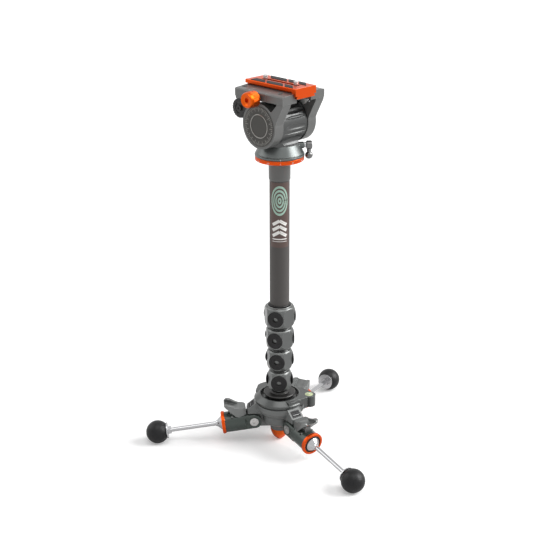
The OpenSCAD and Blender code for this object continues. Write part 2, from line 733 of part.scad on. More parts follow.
module head_barrel() color([0.46, 0.47, 0.47]) difference() {
  union() {
    translate([0, 0, tilt_z]) rotate([0, 90, 0]) rotate_extrude() polygon([
      [0, -drum_w / 2], [drum_d / 2 - 0.6, -drum_w / 2], [drum_d / 2, -drum_w / 2 + 0.6],
      [drum_d / 2, -drum_w / 2 + 3], [drum_d / 2 - 1, 0], [drum_d / 2, drum_w / 2 - 3],
      [drum_d / 2, drum_w / 2 - 0.6], [drum_d / 2 - 0.6, drum_w / 2], [0, drum_w / 2]]);
    intersection() {
      translate([0, 0, skirt_top_z - 4])
        cylinder(r = skirt_top_r - 0.4, h = tilt_z - skirt_top_z);
      translate([0, 0, skirt_top_z]) cube([drum_w, drum_d, 60], center = true);
    }
    rotate([0, 0, -90]) translate([0, 0, tilt_lock_z]) bar_x(4.6, 18, 30.5);
  }
  translate([0, 0, tilt_z]) bar_x(cartridge_r + run_fit, -drum_w, drum_w);
  for (a = crest_a) translate([0, 0, tilt_z]) rotate([a, 0, 0]) flute();
  translate([0, 0, skirt_top_z + seat_fit - 40]) cylinder(r = 60, h = 40);
  rotate([0, 0, -90]) translate([0, 0, tilt_lock_z])
    bar_x(lever_stud_r + run_fit, cartridge_r + 2, 40);
}

// Damping cartridge on the tilt axis with a bearing at each end
module tilt_cartridge() color([0.65, 0.66, 0.68]) translate([0, 0, tilt_z]) {
  bar_x(cartridge_r, -drum_w / 2 + bearing_w + 0.3, drum_w / 2 - bearing_w - 0.3);
  bar_x(axle_r, -axle_reach, axle_reach);
  for (side = [-1, 1]) mirror([side < 0 ? 1 : 0, 0, 0]) difference() {
    bar_x(cartridge_r, drum_w / 2 - bearing_w, drum_w / 2 - 0.2);
    bar_x(axle_r + seat_fit, 0, drum_w);
  }
}

// Side plates: round end on the tilt axis, two struts up to the platform
module strut_plan() {
  polygon([
    [20, tilt_z + 2], [31, tilt_z + 5], [33, tilt_z + 10], [rail_l / 2 - 1.2, platform_z - 3.4],
    [rail_l / 2 - 0.4, platform_z], [33.4, platform_z], [32.6, platform_z - 2.4],
    [24.4, tilt_z + 23.8], [14, tilt_z + 20]]);
}

module side_plate() {
  difference() {
    union() {
      end_profile(side_x, side_plate_t) {
        translate([0, tilt_z]) circle(r = side_plate_d / 2);
        strut_plan();
        mirror([1, 0]) strut_plan();
      }
      translate([0, rosette_y, rosette_z]) bar_x(rosette_r, rosette_x - 12, rosette_x);
    }
    translate([0, 0, tilt_z]) bar_x(axle_r + seat_fit, 0, axle_reach);
    translate([0, 0, tilt_z]) bar_x(cap_r + seat_fit, side_out_x - cap_depth, side_out_x + 1);
    translate([0, rosette_y, rosette_z]) bar_x(3.1, 0, rosette_x + 1);
    difference() {
      translate([0, rosette_y, rosette_z]) bar_x(rosette_r, rosette_x, side_out_x + 1);
      translate([0, 0, tilt_z]) bar_x(side_plate_d / 2, 0, side_out_x + 2);
    }
  }
}

module side_plates() color([0.42, 0.43, 0.43]) for (side = [0, 1])
  mirror([side, 0, 0]) side_plate();

// Dial caps that close the side plates
module side_cap() {
  translate([0, 0, tilt_z]) difference() {
    bar_x(cap_r, side_out_x - cap_depth + seat_fit, side_out_x + 0.4);
    difference() {
      bar_x(dial_r + 0.8, side_out_x - 0.2, side_out_x + 1);
      bar_x(dial_r - 0.8, side_out_x - 1, side_out_x + 2);
    }
  }
}

module side_caps() color([0.27, 0.27, 0.26]) for (side = [0, 1])
  mirror([side, 0, 0]) side_cap();

// Toothed rosettes for a pan handle, each with its bolt
module rosette() {
  translate([rosette_x + seat_fit, rosette_y, rosette_z]) {
    difference() {
      bar_x(rosette_r - 0.5, 0, 2.6);
      translate([0, -rosette_y, tilt_z - rosette_z]) bar_x(side_plate_d / 2 + 0.2, -1, 4);
      bar_x(8, 1.4, 4);
      for (k = [0 : rosette_teeth - 1]) rotate([k * 360 / rosette_teeth, 0, 0])
        translate([1.9, -0.5, 8.5]) cube([2, 1, 6]);
      bar_x(3 + seat_fit, -1, 4);
    }
    bar_x(3, -10, 3);
    difference() {
      bar_x(4.4, 1.4 + seat_fit, 4.4);
      bar_x(1.6, 2.8, 6);
    }
  }
}

module handle_rosettes() color([0.14, 0.14, 0.14]) for (side = [0, 1])
  mirror([side, 0, 0]) rosette();

// Platform with the rails for the plate
module rail_section() {
  polygon([
    [-rail_out_x + 0.8, platform_z], [rail_out_x - 0.8, platform_z],
    [rail_out_x, platform_z + 0.8], [rail_out_x, rail_top_z - 1.2],
    [rail_out_x - 1.2, rail_top_z], [plate_neck_x + rail_lip, rail_top_z],
    [plate_foot_x + rail_lip, rail_top_z - 2], [plate_foot_x + rail_lip, channel_z - 0.1],
    [9, channel_z - 0.1], [9, channel_z - 2.8], [-9, channel_z - 2.8], [-9, channel_z - 0.1],
    [-plate_foot_x - rail_lip, channel_z - 0.1], [-plate_foot_x - rail_lip, rail_top_z - 2],
    [-plate_neck_x - rail_lip, rail_top_z], [-rail_out_x + 1.2, rail_top_z],
    [-rail_out_x, rail_top_z - 1.2], [-rail_out_x, platform_z + 0.8]]);
}

module tilt_platform() color([0.44, 0.45, 0.45]) difference() {
  side_profile(rail_l) rail_section();
  for (end = [-1, 1]) translate([0, end * (rail_l / 2 + 4), 0])
    cube([28, 32, 2000], center = true);
  translate([plate_neck_x - 2, jaw_y[0] - face_gap, platform_z - 1])
    cube([40, jaw_y[1] - jaw_y[0] + 2 * face_gap, 40]);
  translate([0, knob_y, knob_z]) bar_x(clamp_stud_r + run_fit, 9.5, 30);
  translate([0, button_y, knob_z]) bar_x(button_r + run_fit, -rail_out_x - 1, -18);
  for (y = accessory_y) translate([accessory_x, y, rail_top_z - accessory_depth - accessory_mouth]) {
    cylinder(r = accessory_r, h = accessory_depth + 2);
    translate([0, 0, accessory_depth])
      cylinder(r1 = accessory_r, r2 = accessory_r + 1.4, h = accessory_mouth + eps);
  }
}

// Clamp jaw: the stretch of the right rail that the knob pulls in
module clamp_jaw() color([0.44, 0.45, 0.45]) difference() {
  intersection() {
    side_profile(rail_l) rail_section();
    translate([plate_neck_x - 1, jaw_y[0], platform_z - 1])
      cube([40, jaw_y[1] - jaw_y[0], 40]);
  }
  translate([plate_neck_x - 5, -through / 2, channel_z - 20])
    cube([5 + plate_foot_x - plate_neck_x + rail_lip - 0.1, through, 20]);
  translate([0, knob_y, knob_z]) bar_x(clamp_stud_r + run_fit, 0, 60);
}

module clamp_knob() color([0.93, 0.42, 0.10]) translate([0, knob_y, knob_z]) difference() {
  union() {
    bar_x(clamp_stud_r, 10, rail_out_x + 4);
    bar_x(5, rail_out_x + 0.3, rail_out_x + 3);
    translate([rail_out_x + knob_neck_l, 0, 0]) rotate([0, 90, 0]) rotate_extrude() polygon([
      [0, 0], [knob_d / 2 - 2.2, 0], [knob_d / 2, 2], [knob_d / 2, knob_l - 5],
      [knob_d / 2 - 0.6, knob_l - 1.6], [knob_d / 2 - 1.6, knob_l],
      [7.2, knob_l - 0.3], [5.4, knob_l - 1.4], [0, knob_l - 1.4]]);
  }
  translate([rail_out_x + knob_neck_l + knob_l - 5, 0, 0]) rotate([0, 90, 0])
    cylinder(d = 7.4, h = 6, $fn = 6);
}

module safety_button() color([0.86, 0.30, 0.06]) translate([0, button_y, knob_z]) {
  bar_x(button_r, -rail_out_x - button_travel - 1.4, -18 - button_travel - 0.6);
}

// Dovetailed plate with its rounded slot, stepped for the screw heads
module slot_plan(r) {
  square([2 * r, 2 * slot_half_l - 2 * slot_r], center = true);
  for (end = [-1, 1]) translate([0, end * (slot_half_l - slot_r)]) circle(r = r);
}

plate_flange_z = plate_top_z - plate_flange_t;
module plate_section() {
  polygon([
    [-plate_foot_x + 0.6, channel_z], [plate_foot_x - 0.6, channel_z],
    [plate_foot_x, channel_z + 0.6], [plate_foot_x, rail_top_z - 2.2],
    [plate_neck_x, rail_top_z - 0.2], [plate_neck_x, plate_flange_z - 0.4],
    [plate_w / 2 - 0.8, plate_flange_z], [plate_w / 2, plate_flange_z + 0.8],
    [plate_w / 2, plate_top_z - 0.6], [plate_w / 2 - 0.6, plate_top_z],
    [-plate_w / 2 + 0.6, plate_top_z], [-plate_w / 2, plate_top_z - 0.6],
    [-plate_w / 2, plate_flange_z + 0.8], [-plate_w / 2 + 0.8, plate_flange_z],
    [-plate_neck_x, plate_flange_z - 0.4], [-plate_neck_x, rail_top_z - 0.2],
    [-plate_foot_x, rail_top_z - 2.2], [-plate_foot_x, channel_z + 0.6]]);
}

module quick_release_plate() color([0.86, 0.28, 0.04]) difference() {
  translate([0, plate_y, 0]) {
    side_profile(plate_l) plate_section();
    translate([-plate_w / 2, plate_l / 2 - plate_end_l, rail_top_z + plate_end_over])
      cube([plate_w, plate_end_l, plate_over_rail - plate_end_over - 0.6]);
  }
  translate([0, plate_y, channel_z - 1]) linear_extrude(plate_t + 2) slot_plan(slot_r);
  translate([0, plate_y, channel_z - 1]) linear_extrude(1 + plate_t / 2)
    slot_plan(screw_head_r + 0.4);
  translate([0, 0, plate_top_z - pad_recess]) linear_extrude(2)
    for (seg = pad_segments) pad_plan(seg, seat_fit);
}

// Rubber pads: two rows of three with slanting gaps. Each entry gives the row's
// side and the rear and front ends at the row's outer edge.
pad_rear_y = -37;
pad_segments = [[1, -37, -9.1], [1, -6.1, 24.8], [1, 27.8, 43],
  [-1, -35, -4.4], [-1, -1, 15], [-1, 18.5, 31.5]];
module pad_plan(seg, grow) {
  shift = -seg[0] * (pad_out_x - pad_in_x);
  polygon([[seg[0] * (pad_out_x + grow), seg[1] - grow],
    [seg[0] * (pad_out_x + grow), seg[2] + grow],
    [seg[0] * (pad_in_x - grow), seg[2] + shift + grow],
    [seg[0] * (pad_in_x - grow), max(seg[1] + shift, pad_rear_y) - grow]]);
}

module plate_pads() color([0.20, 0.17, 0.18]) translate([0, 0, plate_top_z - pad_recess])
  linear_extrude(pad_t) for (seg = pad_segments) pad_plan(seg, 0);

// Captive camera screw with a slotted head under the plate
module camera_screw(y) color([0.78, 0.77, 0.74]) translate([0, y, 0]) difference() {
  union() {
    translate([0, 0, channel_z + plate_t / 2 - screw_head_t - screw_head_gap])
      cylinder(r = screw_head_r, h = screw_head_t);
    translate([0, 0, channel_z + plate_t / 2 - screw_head_gap - 1])
      cylinder(r = screw_neck_r, h = plate_t / 2 + 3);
    translate([0, 0, thread_z])
      cylinder(d = screw_d, h = plate_top_z + screw_proud - screw_chamfer - thread_z);
    translate([0, 0, plate_top_z + screw_proud - screw_chamfer])
      cylinder(d1 = screw_d, d2 = screw_d - 2 * screw_chamfer, h = screw_chamfer);
  }
  translate([-screw_head_r, -0.7, channel_z]) cube([2 * screw_head_r, 1.4, 2.6]);
}

hub();
lug_inserts();
bottom_cap();
pivot_bolts();
leg_body(1);  // leg_body_1
leg_body(2);  // leg_body_2
leg_body(3);  // leg_body_3
leg_ring(1);  // leg_ring_1
leg_ring(2);  // leg_ring_2
leg_ring(3);  // leg_ring_3
leg_rod(1);  // leg_rod_1
leg_rod(2);  // leg_rod_2
leg_rod(3);  // leg_rod_3
foot_ball(1);  // foot_ball_1
foot_ball(2);  // foot_ball_2
foot_ball(3);  // foot_ball_3
release_lever(1);  // release_lever_1
release_lever(2);  // release_lever_2
release_lever(3);  // release_lever_3
lock_ring();
bubble_level();
ball_seat();
tilt_ball();
column_flange();
tube(1);  // tube_1
tube(2);  // tube_2
tube(3);  // tube_3
tube(4);  // tube_4
tube(5);  // tube_5
tube_bush(1);  // tube_bush_1
tube_bush(2);  // tube_bush_2
tube_bush(3);  // tube_bush_3
tube_bush(4);  // tube_bush_4
tube_bush(5);  // tube_bush_5
twist_lock(1);  // twist_lock_1
twist_lock(2);  // twist_lock_2
twist_lock(3);  // twist_lock_3
twist_lock(4);  // twist_lock_4
grip_pads(1);  // grip_pads_1
grip_pads(2);  // grip_pads_2
grip_pads(3);  // grip_pads_3
grip_pads(4);  // grip_pads_4
top_collar();
degree_ring();
pan_housing();
head_barrel();
pan_lock_lever();
tilt_lock_lever();
tilt_cartridge();
side_plates();
side_caps();
handle_rosettes();
tilt_platform();
clamp_jaw();
clamp_knob();
safety_button();
quick_release_plate();
plate_pads();
camera_screw(screw_y[0]);  // camera_screw_front
camera_screw(screw_y[1]);  // camera_screw_rear
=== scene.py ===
"""Looks of a compact camera support.

A carbon column with four twist locks carries a fluid head and an orange
quick-release plate. It stands on a folding three-legged foot with a tilting
ball base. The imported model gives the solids; this script gives them their
finishes, adds the small trim, and sets the floor, the light and the camera.
"""
import logging
import math
from dataclasses import dataclass, field
from enum import Enum

import bmesh
import bpy
from bmesh.types import BMesh
from bpy.types import (
    ID, Material, Mesh, Node, NodeSocket, NodeTree, NodeTreeInterfaceSocket, Object, ShaderNodeTree
)
from mathutils import Matrix, Vector


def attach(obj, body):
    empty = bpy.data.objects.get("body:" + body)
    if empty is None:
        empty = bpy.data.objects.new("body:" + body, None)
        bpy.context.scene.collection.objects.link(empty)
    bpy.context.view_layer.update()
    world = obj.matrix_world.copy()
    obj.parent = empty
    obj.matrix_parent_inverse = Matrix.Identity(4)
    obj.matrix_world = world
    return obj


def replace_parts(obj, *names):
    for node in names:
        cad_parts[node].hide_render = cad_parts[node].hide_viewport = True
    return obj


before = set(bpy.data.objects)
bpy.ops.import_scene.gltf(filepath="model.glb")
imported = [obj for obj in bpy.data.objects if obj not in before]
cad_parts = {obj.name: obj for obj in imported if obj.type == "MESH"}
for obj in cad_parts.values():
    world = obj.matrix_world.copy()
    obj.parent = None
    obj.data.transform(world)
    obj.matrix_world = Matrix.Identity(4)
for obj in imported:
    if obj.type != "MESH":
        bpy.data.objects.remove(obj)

log = logging.getLogger("camera_support")
MM = 0.001
WELD = 0.001 * MM
FINE_WELD = 0.0001 * MM
# Steps round a ring, by its size
SMALL_RING = 40
RING = 64
LARGE_RING = 96
Pair = tuple[float, float]
Triple = tuple[float, float, float]
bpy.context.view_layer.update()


class Grain(Enum):
    """Fine relief that a finish may carry."""

    NONE = "none"
    CAST = "cast"
    STIPPLE = "stipple"
    WEAVE = "weave"
    KNURL = "knurl"
    RELIEF = "relief"


class Side(Enum):
    """Left or right of the person behind the camera, as the sign of X."""

    RIGHT = 1
    LEFT = -1


def fill(node: Node, values: dict[str, object]) -> None:
    """Sets the values of a node's inputs."""
    for key, value in values.items():
        node.inputs[key].default_value = value


def mesh_of(bm: BMesh, name: str) -> Mesh:
    """Writes a bmesh into a new mesh and frees it."""
    mesh = bpy.data.meshes.new(name)
    bm.to_mesh(mesh)
    bm.free()
    return mesh


def linked(name: str, data: ID) -> Object:
    """Makes an object of a mesh, a lamp or a camera and puts it in the scene."""
    obj = bpy.data.objects.new(name, data)
    bpy.context.scene.collection.objects.link(obj)
    return obj


# Shader node groups, each built once


class GroupSketch:
    """A node group under construction."""

    def __init__(self, name: str, takes: dict[str, object], gives: tuple[str, ...]) -> None:
        """Starts a shader group with its sockets.

        Args:
            name: The group's name.
            takes: Each input's default: a number, a vector of three or a colour of four.
            gives: The outputs. All but a Colour and a Normal are numbers.
        """
        self.tree = bpy.data.node_groups.new(name, "ShaderNodeTree")
        self.inlet = self.tree.nodes.new("NodeGroupInput")
        self.outlet = self.tree.nodes.new("NodeGroupOutput")
        for key, default in takes.items():
            size = len(default) if isinstance(default, tuple) else 1
            kind = {1: "Float", 3: "Vector", 4: "Color"}[size]
            self._socket(key, "INPUT", kind).default_value = default
        for key in gives:
            self._socket(key, "OUTPUT", {"Colour": "Color", "Normal": "Vector"}.get(key, "Float"))

    def _socket(self, name: str, way: str, kind: str) -> NodeTreeInterfaceSocket:
        """Adds a socket to the group's interface and gives it back."""
        return self.tree.interface.new_socket(name, in_out=way, socket_type="NodeSocket" + kind)

    def node(self, kind: str, **settings: object) -> Node:
        """Adds a node and sets its properties.

        Args:
            kind: The node's type, without the ShaderNode prefix.
            **settings: Properties of the node.

        Returns:
            The new node.
        """
        made = self.tree.nodes.new("ShaderNode" + kind)
        for key, value in settings.items():
            setattr(made, key, value)
        return made

    def join(self, start: NodeSocket, end: NodeSocket) -> None:
        """Links two sockets."""
        self.tree.links.new(start, end)

    def maths(self, operation: str, *values: object) -> NodeSocket:
        """Adds a Math node fed by sockets or numbers.

        Args:
            operation: The Math node's operation.
            *values: Sockets or numbers, in input order.

        Returns:
            The node's output socket.
        """
        made = self.node("Math", operation=operation)
        for socket, value in zip(made.inputs, values):
            if isinstance(value, (int, float)):
                socket.default_value = value
            else:
                self.join(value, socket)
        return made.outputs[0]

    def mix(self, factor: NodeSocket, first: NodeSocket, second: NodeSocket) -> NodeSocket:
        """Mixes two colours.

        Args:
            factor: The share of the second colour.
            first: The colour at 0.
            second: The colour at 1.

        Returns:
            The mixed colour's socket.
        """
        made = self.node("Mix", data_type="RGBA")
        for socket, value in zip((made.inputs[0], *made.inputs[6:8]), (factor, first, second)):
            self.join(value, socket)
        return made.outputs[2]

    def gain(self, factor: NodeSocket) -> None:
        """Gives out the group's Colour, multiplied by a factor."""
        scaled = self.node("VectorMath", operation="SCALE")
        self.join(self.inlet.outputs["Colour"], scaled.inputs[0])
        self.join(factor, scaled.inputs["Scale"])
        self.join(scaled.outputs[0], self.outlet.inputs["Colour"])

    def about_axis(self) -> tuple[NodeSocket, ...]:
        """Gives X, Y and Z from the group's Axis Place, and the turn about X."""
        offset = self.node("VectorMath", operation="SUBTRACT")
        self.join(self.node("TexCoord").outputs["Object"], offset.inputs[0])
        self.join(self.inlet.outputs["Axis Place"], offset.inputs[1])
        split = self.node("SeparateXYZ")
        self.join(offset.outputs[0], split.inputs[0])
        x, y, z = split.outputs
        return x, y, z, self.maths("ARCTAN2", z, y)


def cast_group() -> ShaderNodeTree:
    """Fine orange peel and a faint mottle, as on coated castings.

    Returns:
        A group that gives a colour, a roughness and a height.
    """
    g = GroupSketch("cast_surface", {"Colour": (0.1, 0.1, 0.1, 1.0), "Grain Scale": 1800.0,
                                     "Mottle": 0.12, "Base Roughness": 0.4},
                    ("Colour", "Roughness", "Height"))
    speckle = 0.16
    place = g.node("TexCoord")
    fine = g.node("TexNoise")
    broad = g.node("TexNoise")
    fill(broad, {"Scale": 60.0, "Detail": 4.0})
    fill(fine, {"Detail": 2.0})
    for noise in (fine, broad):
        g.join(place.outputs["Object"], noise.inputs["Vector"])
    g.join(g.inlet.outputs["Grain Scale"], fine.inputs["Scale"])
    centred = g.maths("SUBTRACT", broad.outputs["Fac"], 0.5)
    g.gain(g.maths("MULTIPLY_ADD", centred, g.inlet.outputs["Mottle"], 1.0))
    speck = g.maths("MULTIPLY_ADD", fine.outputs["Fac"], speckle, -speckle / 2)
    g.join(g.maths("ADD", g.inlet.outputs["Base Roughness"], speck), g.outlet.inputs["Roughness"])
    g.join(fine.outputs["Fac"], g.outlet.inputs["Height"])
    return g.tree


def stipple_group() -> ShaderNodeTree:
    """Close-set round pimples, as on moulded rubber, with painted shade between them.

    Returns:
        A group that gives a colour and a height.
    """
    g = GroupSketch("rubber_stipple", {"Colour": (0.02, 0.02, 0.02, 1.0), "Stipple Scale": 900.0},
                    ("Colour", "Height"))
    dust_share, painted_shade_share = 0.5, 0.9
    place = g.node("TexCoord")
    cells = g.node("TexVoronoi")
    dust = g.node("TexNoise")
    fill(dust, {"Scale": 110.0, "Detail": 3.0})
    g.join(place.outputs["Object"], cells.inputs["Vector"])
    g.join(place.outputs["Object"], dust.inputs["Vector"])
    g.join(g.inlet.outputs["Stipple Scale"], cells.inputs["Scale"])
    height = g.maths("SUBTRACT", 1.0, cells.outputs["Distance"])
    g.join(height, g.outlet.inputs["Height"])
    lift = g.maths("MULTIPLY", dust.outputs["Fac"], dust_share)
    # Painted shade: the colour darkens between the pimples, by their height; the dust noise varies
    # it at random
    g.gain(g.maths("MULTIPLY_ADD", height, painted_shade_share, lift))
    return g.tree


def weave_group() -> ShaderNodeTree:
    """Matt twill weave round a tube on the column's axis.

    Returns:
        A group that gives a colour and a height.
    """
    g = GroupSketch("carbon_weave", {"Dark": (0.03, 0.03, 0.03, 1.0), "Tow Width": 1.4 * MM,
                                     "Light": (0.06, 0.055, 0.05, 1.0), "Tube Radius": 14.25 * MM},
                    ("Colour", "Height"))
    tows_in_twill, tows_on_top = 4.0, 1.5
    place = g.node("TexCoord")
    split = g.node("SeparateXYZ")
    g.join(place.outputs["Object"], split.inputs[0])
    x, y, z = split.outputs
    angle = g.maths("ARCTAN2", y, x)
    tow = g.inlet.outputs["Tow Width"]
    round_way = g.maths("DIVIDE", g.maths("MULTIPLY", angle, g.inlet.outputs["Tube Radius"]), tow)
    along = g.maths("DIVIDE", z, tow)
    diagonal = g.maths("ADD", g.maths("FLOOR", round_way), g.maths("FLOOR", along))
    warp = g.maths("LESS_THAN", g.maths("FLOORED_MODULO", diagonal, tows_in_twill), tows_on_top)
    grain = g.node("TexNoise")
    fill(grain, {"Scale": 700.0})
    g.join(place.outputs["Object"], grain.inputs["Vector"])
    share = g.maths("MULTIPLY_ADD", grain.outputs["Fac"], 0.5, g.maths("MULTIPLY", warp, 0.5))
    shade = g.mix(share, g.inlet.outputs["Dark"], g.inlet.outputs["Light"])
    g.join(shade, g.outlet.inputs["Colour"])
    ridge = g.node("Mix", data_type="FLOAT")
    g.join(warp, ridge.inputs[0])
    for way, socket in zip((round_way, along), ridge.inputs[2:4]):
        g.join(g.maths("ABSOLUTE", g.maths("SINE", g.maths("MULTIPLY", way, math.pi))), socket)
    g.join(ridge.outputs[0], g.outlet.inputs["Height"])
    return g.tree


def edge_group() -> ShaderNodeTree:
    """Rounds sharp edges and masks them, so that a lighter colour can be painted on them as a
    highlight.

    Returns:
        A group that gives a normal and a mask of the edges.
    """
    g = GroupSketch("soft_edge", {"Radius": 0.4 * MM}, ("Normal", "Edge"))
    rounded = g.node("Bevel", samples=6)
    g.join(g.inlet.outputs["Radius"], rounded.inputs["Radius"])
    plain = g.node("NewGeometry")
    facing = g.node("VectorMath", operation="DOT_PRODUCT")
    g.join(rounded.outputs[0], facing.inputs[0])
    g.join(plain.outputs["Normal"], facing.inputs[1])
    g.join(rounded.outputs[0], g.outlet.inputs["Normal"])
    lifted = g.node("MapRange", clamp=True)
    fill(lifted, {"From Min": 0.01, "From Max": 0.16})
    g.join(g.maths("SUBTRACT", 1.0, facing.outputs["Value"]), lifted.inputs["Value"])
    g.join(lifted.outputs[0], g.outlet.inputs["Edge"])
    return g.tree


def knurl_group() -> ShaderNodeTree:
    """Fine straight ribs round an axis along X.

    Returns:
        A group that gives a height.
    """
    g = GroupSketch("straight_knurl", {"Axis Place": (0.0, 0.0, 0.0), "Ribs": 72.0, "From X": 0.0,
                                       "To X": 1.0}, ("Height",))
    x, _, _, angle = g.about_axis()
    wave = g.maths("ABSOLUTE", g.maths("SINE", g.maths("MULTIPLY", angle, g.inlet.outputs["Ribs"])))
    after = g.maths("GREATER_THAN", x, g.inlet.outputs["From X"])
    before = g.maths("LESS_THAN", x, g.inlet.outputs["To X"])
    g.join(g.maths("MULTIPLY", wave, g.maths("MULTIPLY", after, before)), g.outlet.inputs["Height"])
    return g.tree


def relief_group() -> ShaderNodeTree:
    """Faint pressed rays that zigzag in rings, on a dial round an axis along X.

    Returns:
        A group that gives a height.
    """
    g = GroupSketch("dial_relief", {"Axis Place": (0.0, 0.0, 0.0), "Inner": 18.0 * MM,
                                    "Outer": 26.5 * MM}, ("Height",))
    zigzags, reach, ray_count, ray_cut = 3.0, 0.12, 40.0, 0.15
    _, y, z, angle = g.about_axis()
    inner, outer = g.inlet.outputs["Inner"], g.inlet.outputs["Outer"]
    far = g.maths("SQRT", g.maths("ADD", g.maths("POWER", y, 2.0), g.maths("POWER", z, 2.0)))
    band = g.maths("DIVIDE", g.maths("SUBTRACT", far, inner), g.maths("SUBTRACT", outer, inner))
    zigzag = g.maths("PINGPONG", g.maths("MULTIPLY", band, zigzags), 0.5)
    swing = g.maths("MULTIPLY_ADD", zigzag, reach, angle)
    wave = g.maths("SINE", g.maths("MULTIPLY", swing, ray_count))
    rays = g.maths("GREATER_THAN", wave, ray_cut)
    after, before = g.maths("GREATER_THAN", band, 0.0), g.maths("LESS_THAN", band, 1.0)
    inside = g.maths("MULTIPLY", after, before)
    g.join(g.maths("MULTIPLY", rays, inside), g.outlet.inputs["Height"])
    return g.tree


GROUPS = {
    Grain.CAST: cast_group(),
    Grain.STIPPLE: stipple_group(),
    Grain.WEAVE: weave_group(),
    Grain.KNURL: knurl_group(),
    Grain.RELIEF: relief_group(),
}
EDGE = edge_group()


@dataclass(frozen=True)
class Finish:
    """One surface finish, named for where it is used.

    Its name is never that of a slot, because a slot's own plain material has that name.
    """

    name: str
    slot: str
    colour: Triple
    roughness: float
    metallic: float = 0.0
    coat: float = 0.0
    coat_roughness: float = 0.15
    grain: Grain = Grain.NONE
    grain_scale: float = 1800.0
    depth: float = 0.02 * MM
    mottle: float = 0.12
    edge_radius: float = 0.35 * MM
    # Lighter colour painted on the edges as a highlight; None leaves the edges plain
    edge_colour: Triple | None = None
    light: Triple = (0.06, 0.055, 0.05)
    axis: Triple = (0.0, 0.0, 0.0)
    span: Pair = (0.0, 1.0)
    count: float = 72.0
    shine: float = 0.5

    def make(self) -> Material:
        """Builds the material, or gives it back if it is there already.

        Returns:
            The finished material.
        """
        known = bpy.data.materials.get(self.name)
        if known:
            return known
        mat = bpy.data.materials.new(self.name)
        mat.use_nodes = True
        nt = mat.node_tree
        shader = nt.nodes["Principled BSDF"]
        fill(shader, {"Base Color": (*self.colour, 1.0), "Roughness": self.roughness,
                      "Metallic": self.metallic, "Coat Weight": self.coat,
                      "Coat Roughness": self.coat_roughness, "Specular IOR Level": self.shine})
        edge = self._placed(nt, EDGE)
        fill(edge, {"Radius": self.edge_radius})
        colour, height = self._pattern(nt, shader)
        # Painted highlight: the edge mask mixes a lighter colour onto the edges
        if self.edge_colour:
            painted_edge_highlight = nt.nodes.new("ShaderNodeMix")
            painted_edge_highlight.data_type = "RGBA"
            nt.links.new(edge.outputs["Edge"], painted_edge_highlight.inputs[0])
            if colour:
                nt.links.new(colour, painted_edge_highlight.inputs[6])
            else:
                painted_edge_highlight.inputs[6].default_value = (*self.colour, 1.0)
            painted_edge_highlight.inputs[7].default_value = (*self.edge_colour, 1.0)
            colour = painted_edge_highlight.outputs[2]
        if colour:
            nt.links.new(colour, shader.inputs["Base Color"])
        if height:
            bump = nt.nodes.new("ShaderNodeBump")
            fill(bump, {"Distance": self.depth})
            nt.links.new(height, bump.inputs["Height"])
            nt.links.new(edge.outputs["Normal"], bump.inputs["Normal"])
            nt.links.new(bump.outputs[0], shader.inputs["Normal"])
        else:
            nt.links.new(edge.outputs["Normal"], shader.inputs["Normal"])
        return mat

    @staticmethod
    def _placed(nt: NodeTree, group: NodeTree) -> Node:
        """Puts a group into a material and gives its node."""
        made = nt.nodes.new("ShaderNodeGroup")
        made.node_tree = group
        return made

    def _pattern(self, nt: NodeTree, shader: Node) -> tuple[NodeSocket | None, NodeSocket | None]:
        """Adds the grain's group with this finish's values.

        Args:
            nt: The material's node tree.
            shader: Its Principled BSDF.

        Returns:
            The colour's and the height's sockets, or None for each that is plain.
        """
        if self.grain is Grain.NONE:
            return None, None
        made = self._placed(nt, GROUPS[self.grain])
        fill(made, self._grain_values())
        if self.grain is Grain.CAST:
            nt.links.new(made.outputs["Roughness"], shader.inputs["Roughness"])
        return made.outputs.get("Colour"), made.outputs["Height"]

    def _grain_values(self) -> dict[str, object]:
        """What this finish's grain takes.

        Returns:
            The value of each input of the grain's group.
        """
        rgba, (low, high) = (*self.colour, 1.0), self.span
        return {
            Grain.CAST: {"Colour": rgba, "Grain Scale": self.grain_scale, "Mottle": self.mottle,
                         "Base Roughness": self.roughness},
            Grain.STIPPLE: {"Colour": rgba, "Stipple Scale": self.grain_scale},
            Grain.WEAVE: {"Dark": rgba, "Light": (*self.light, 1.0), "Tube Radius": low,
                          "Tow Width": high},
            Grain.KNURL: {"Axis Place": self.axis, "Ribs": self.count, "From X": low, "To X": high},
            Grain.RELIEF: {"Axis Place": self.axis, "Inner": low, "Outer": high},
        }[self.grain]


HEAD_GREY = Finish("head_grey", "cast_grey", (0.125, 0.126, 0.123), 0.42, metallic=0.35, coat=0.1,
                   coat_roughness=0.3, grain=Grain.CAST, edge_colour=(0.42, 0.43, 0.42))
DRUM_GREY = Finish("drum_grey", "cast_grey", (0.080, 0.082, 0.081), 0.36, metallic=0.85, coat=0.1,
                   coat_roughness=0.25, grain=Grain.CAST, edge_colour=(0.30, 0.31, 0.30))
SKIRT_GREY = Finish("skirt_grey", "skirt_metal", (0.120, 0.130, 0.127), 0.36, metallic=0.9,
                    coat=0.1, coat_roughness=0.2, grain=Grain.CAST, depth=0.01 * MM,
                    edge_colour=(0.5, 0.52, 0.5))
FOOT_GREY = Finish("foot_grey", "cast_grey", (0.150, 0.156, 0.153), 0.46, metallic=0.2,
                   grain=Grain.CAST, edge_colour=(0.27, 0.28, 0.275))
RING_GREY = Finish("ring_finish", "ring_grey", (0.066, 0.070, 0.068), 0.30, metallic=0.5, coat=0.3,
                   coat_roughness=0.2, grain=Grain.CAST, edge_colour=(0.34, 0.36, 0.35))
LOCK_GREY = Finish("lock_grey", "lock_metal", (0.120, 0.124, 0.122), 0.32, metallic=0.8, coat=0.2,
                   coat_roughness=0.22, grain=Grain.CAST, depth=0.012 * MM,
                   edge_colour=(0.6, 0.61, 0.6), edge_radius=0.7 * MM)
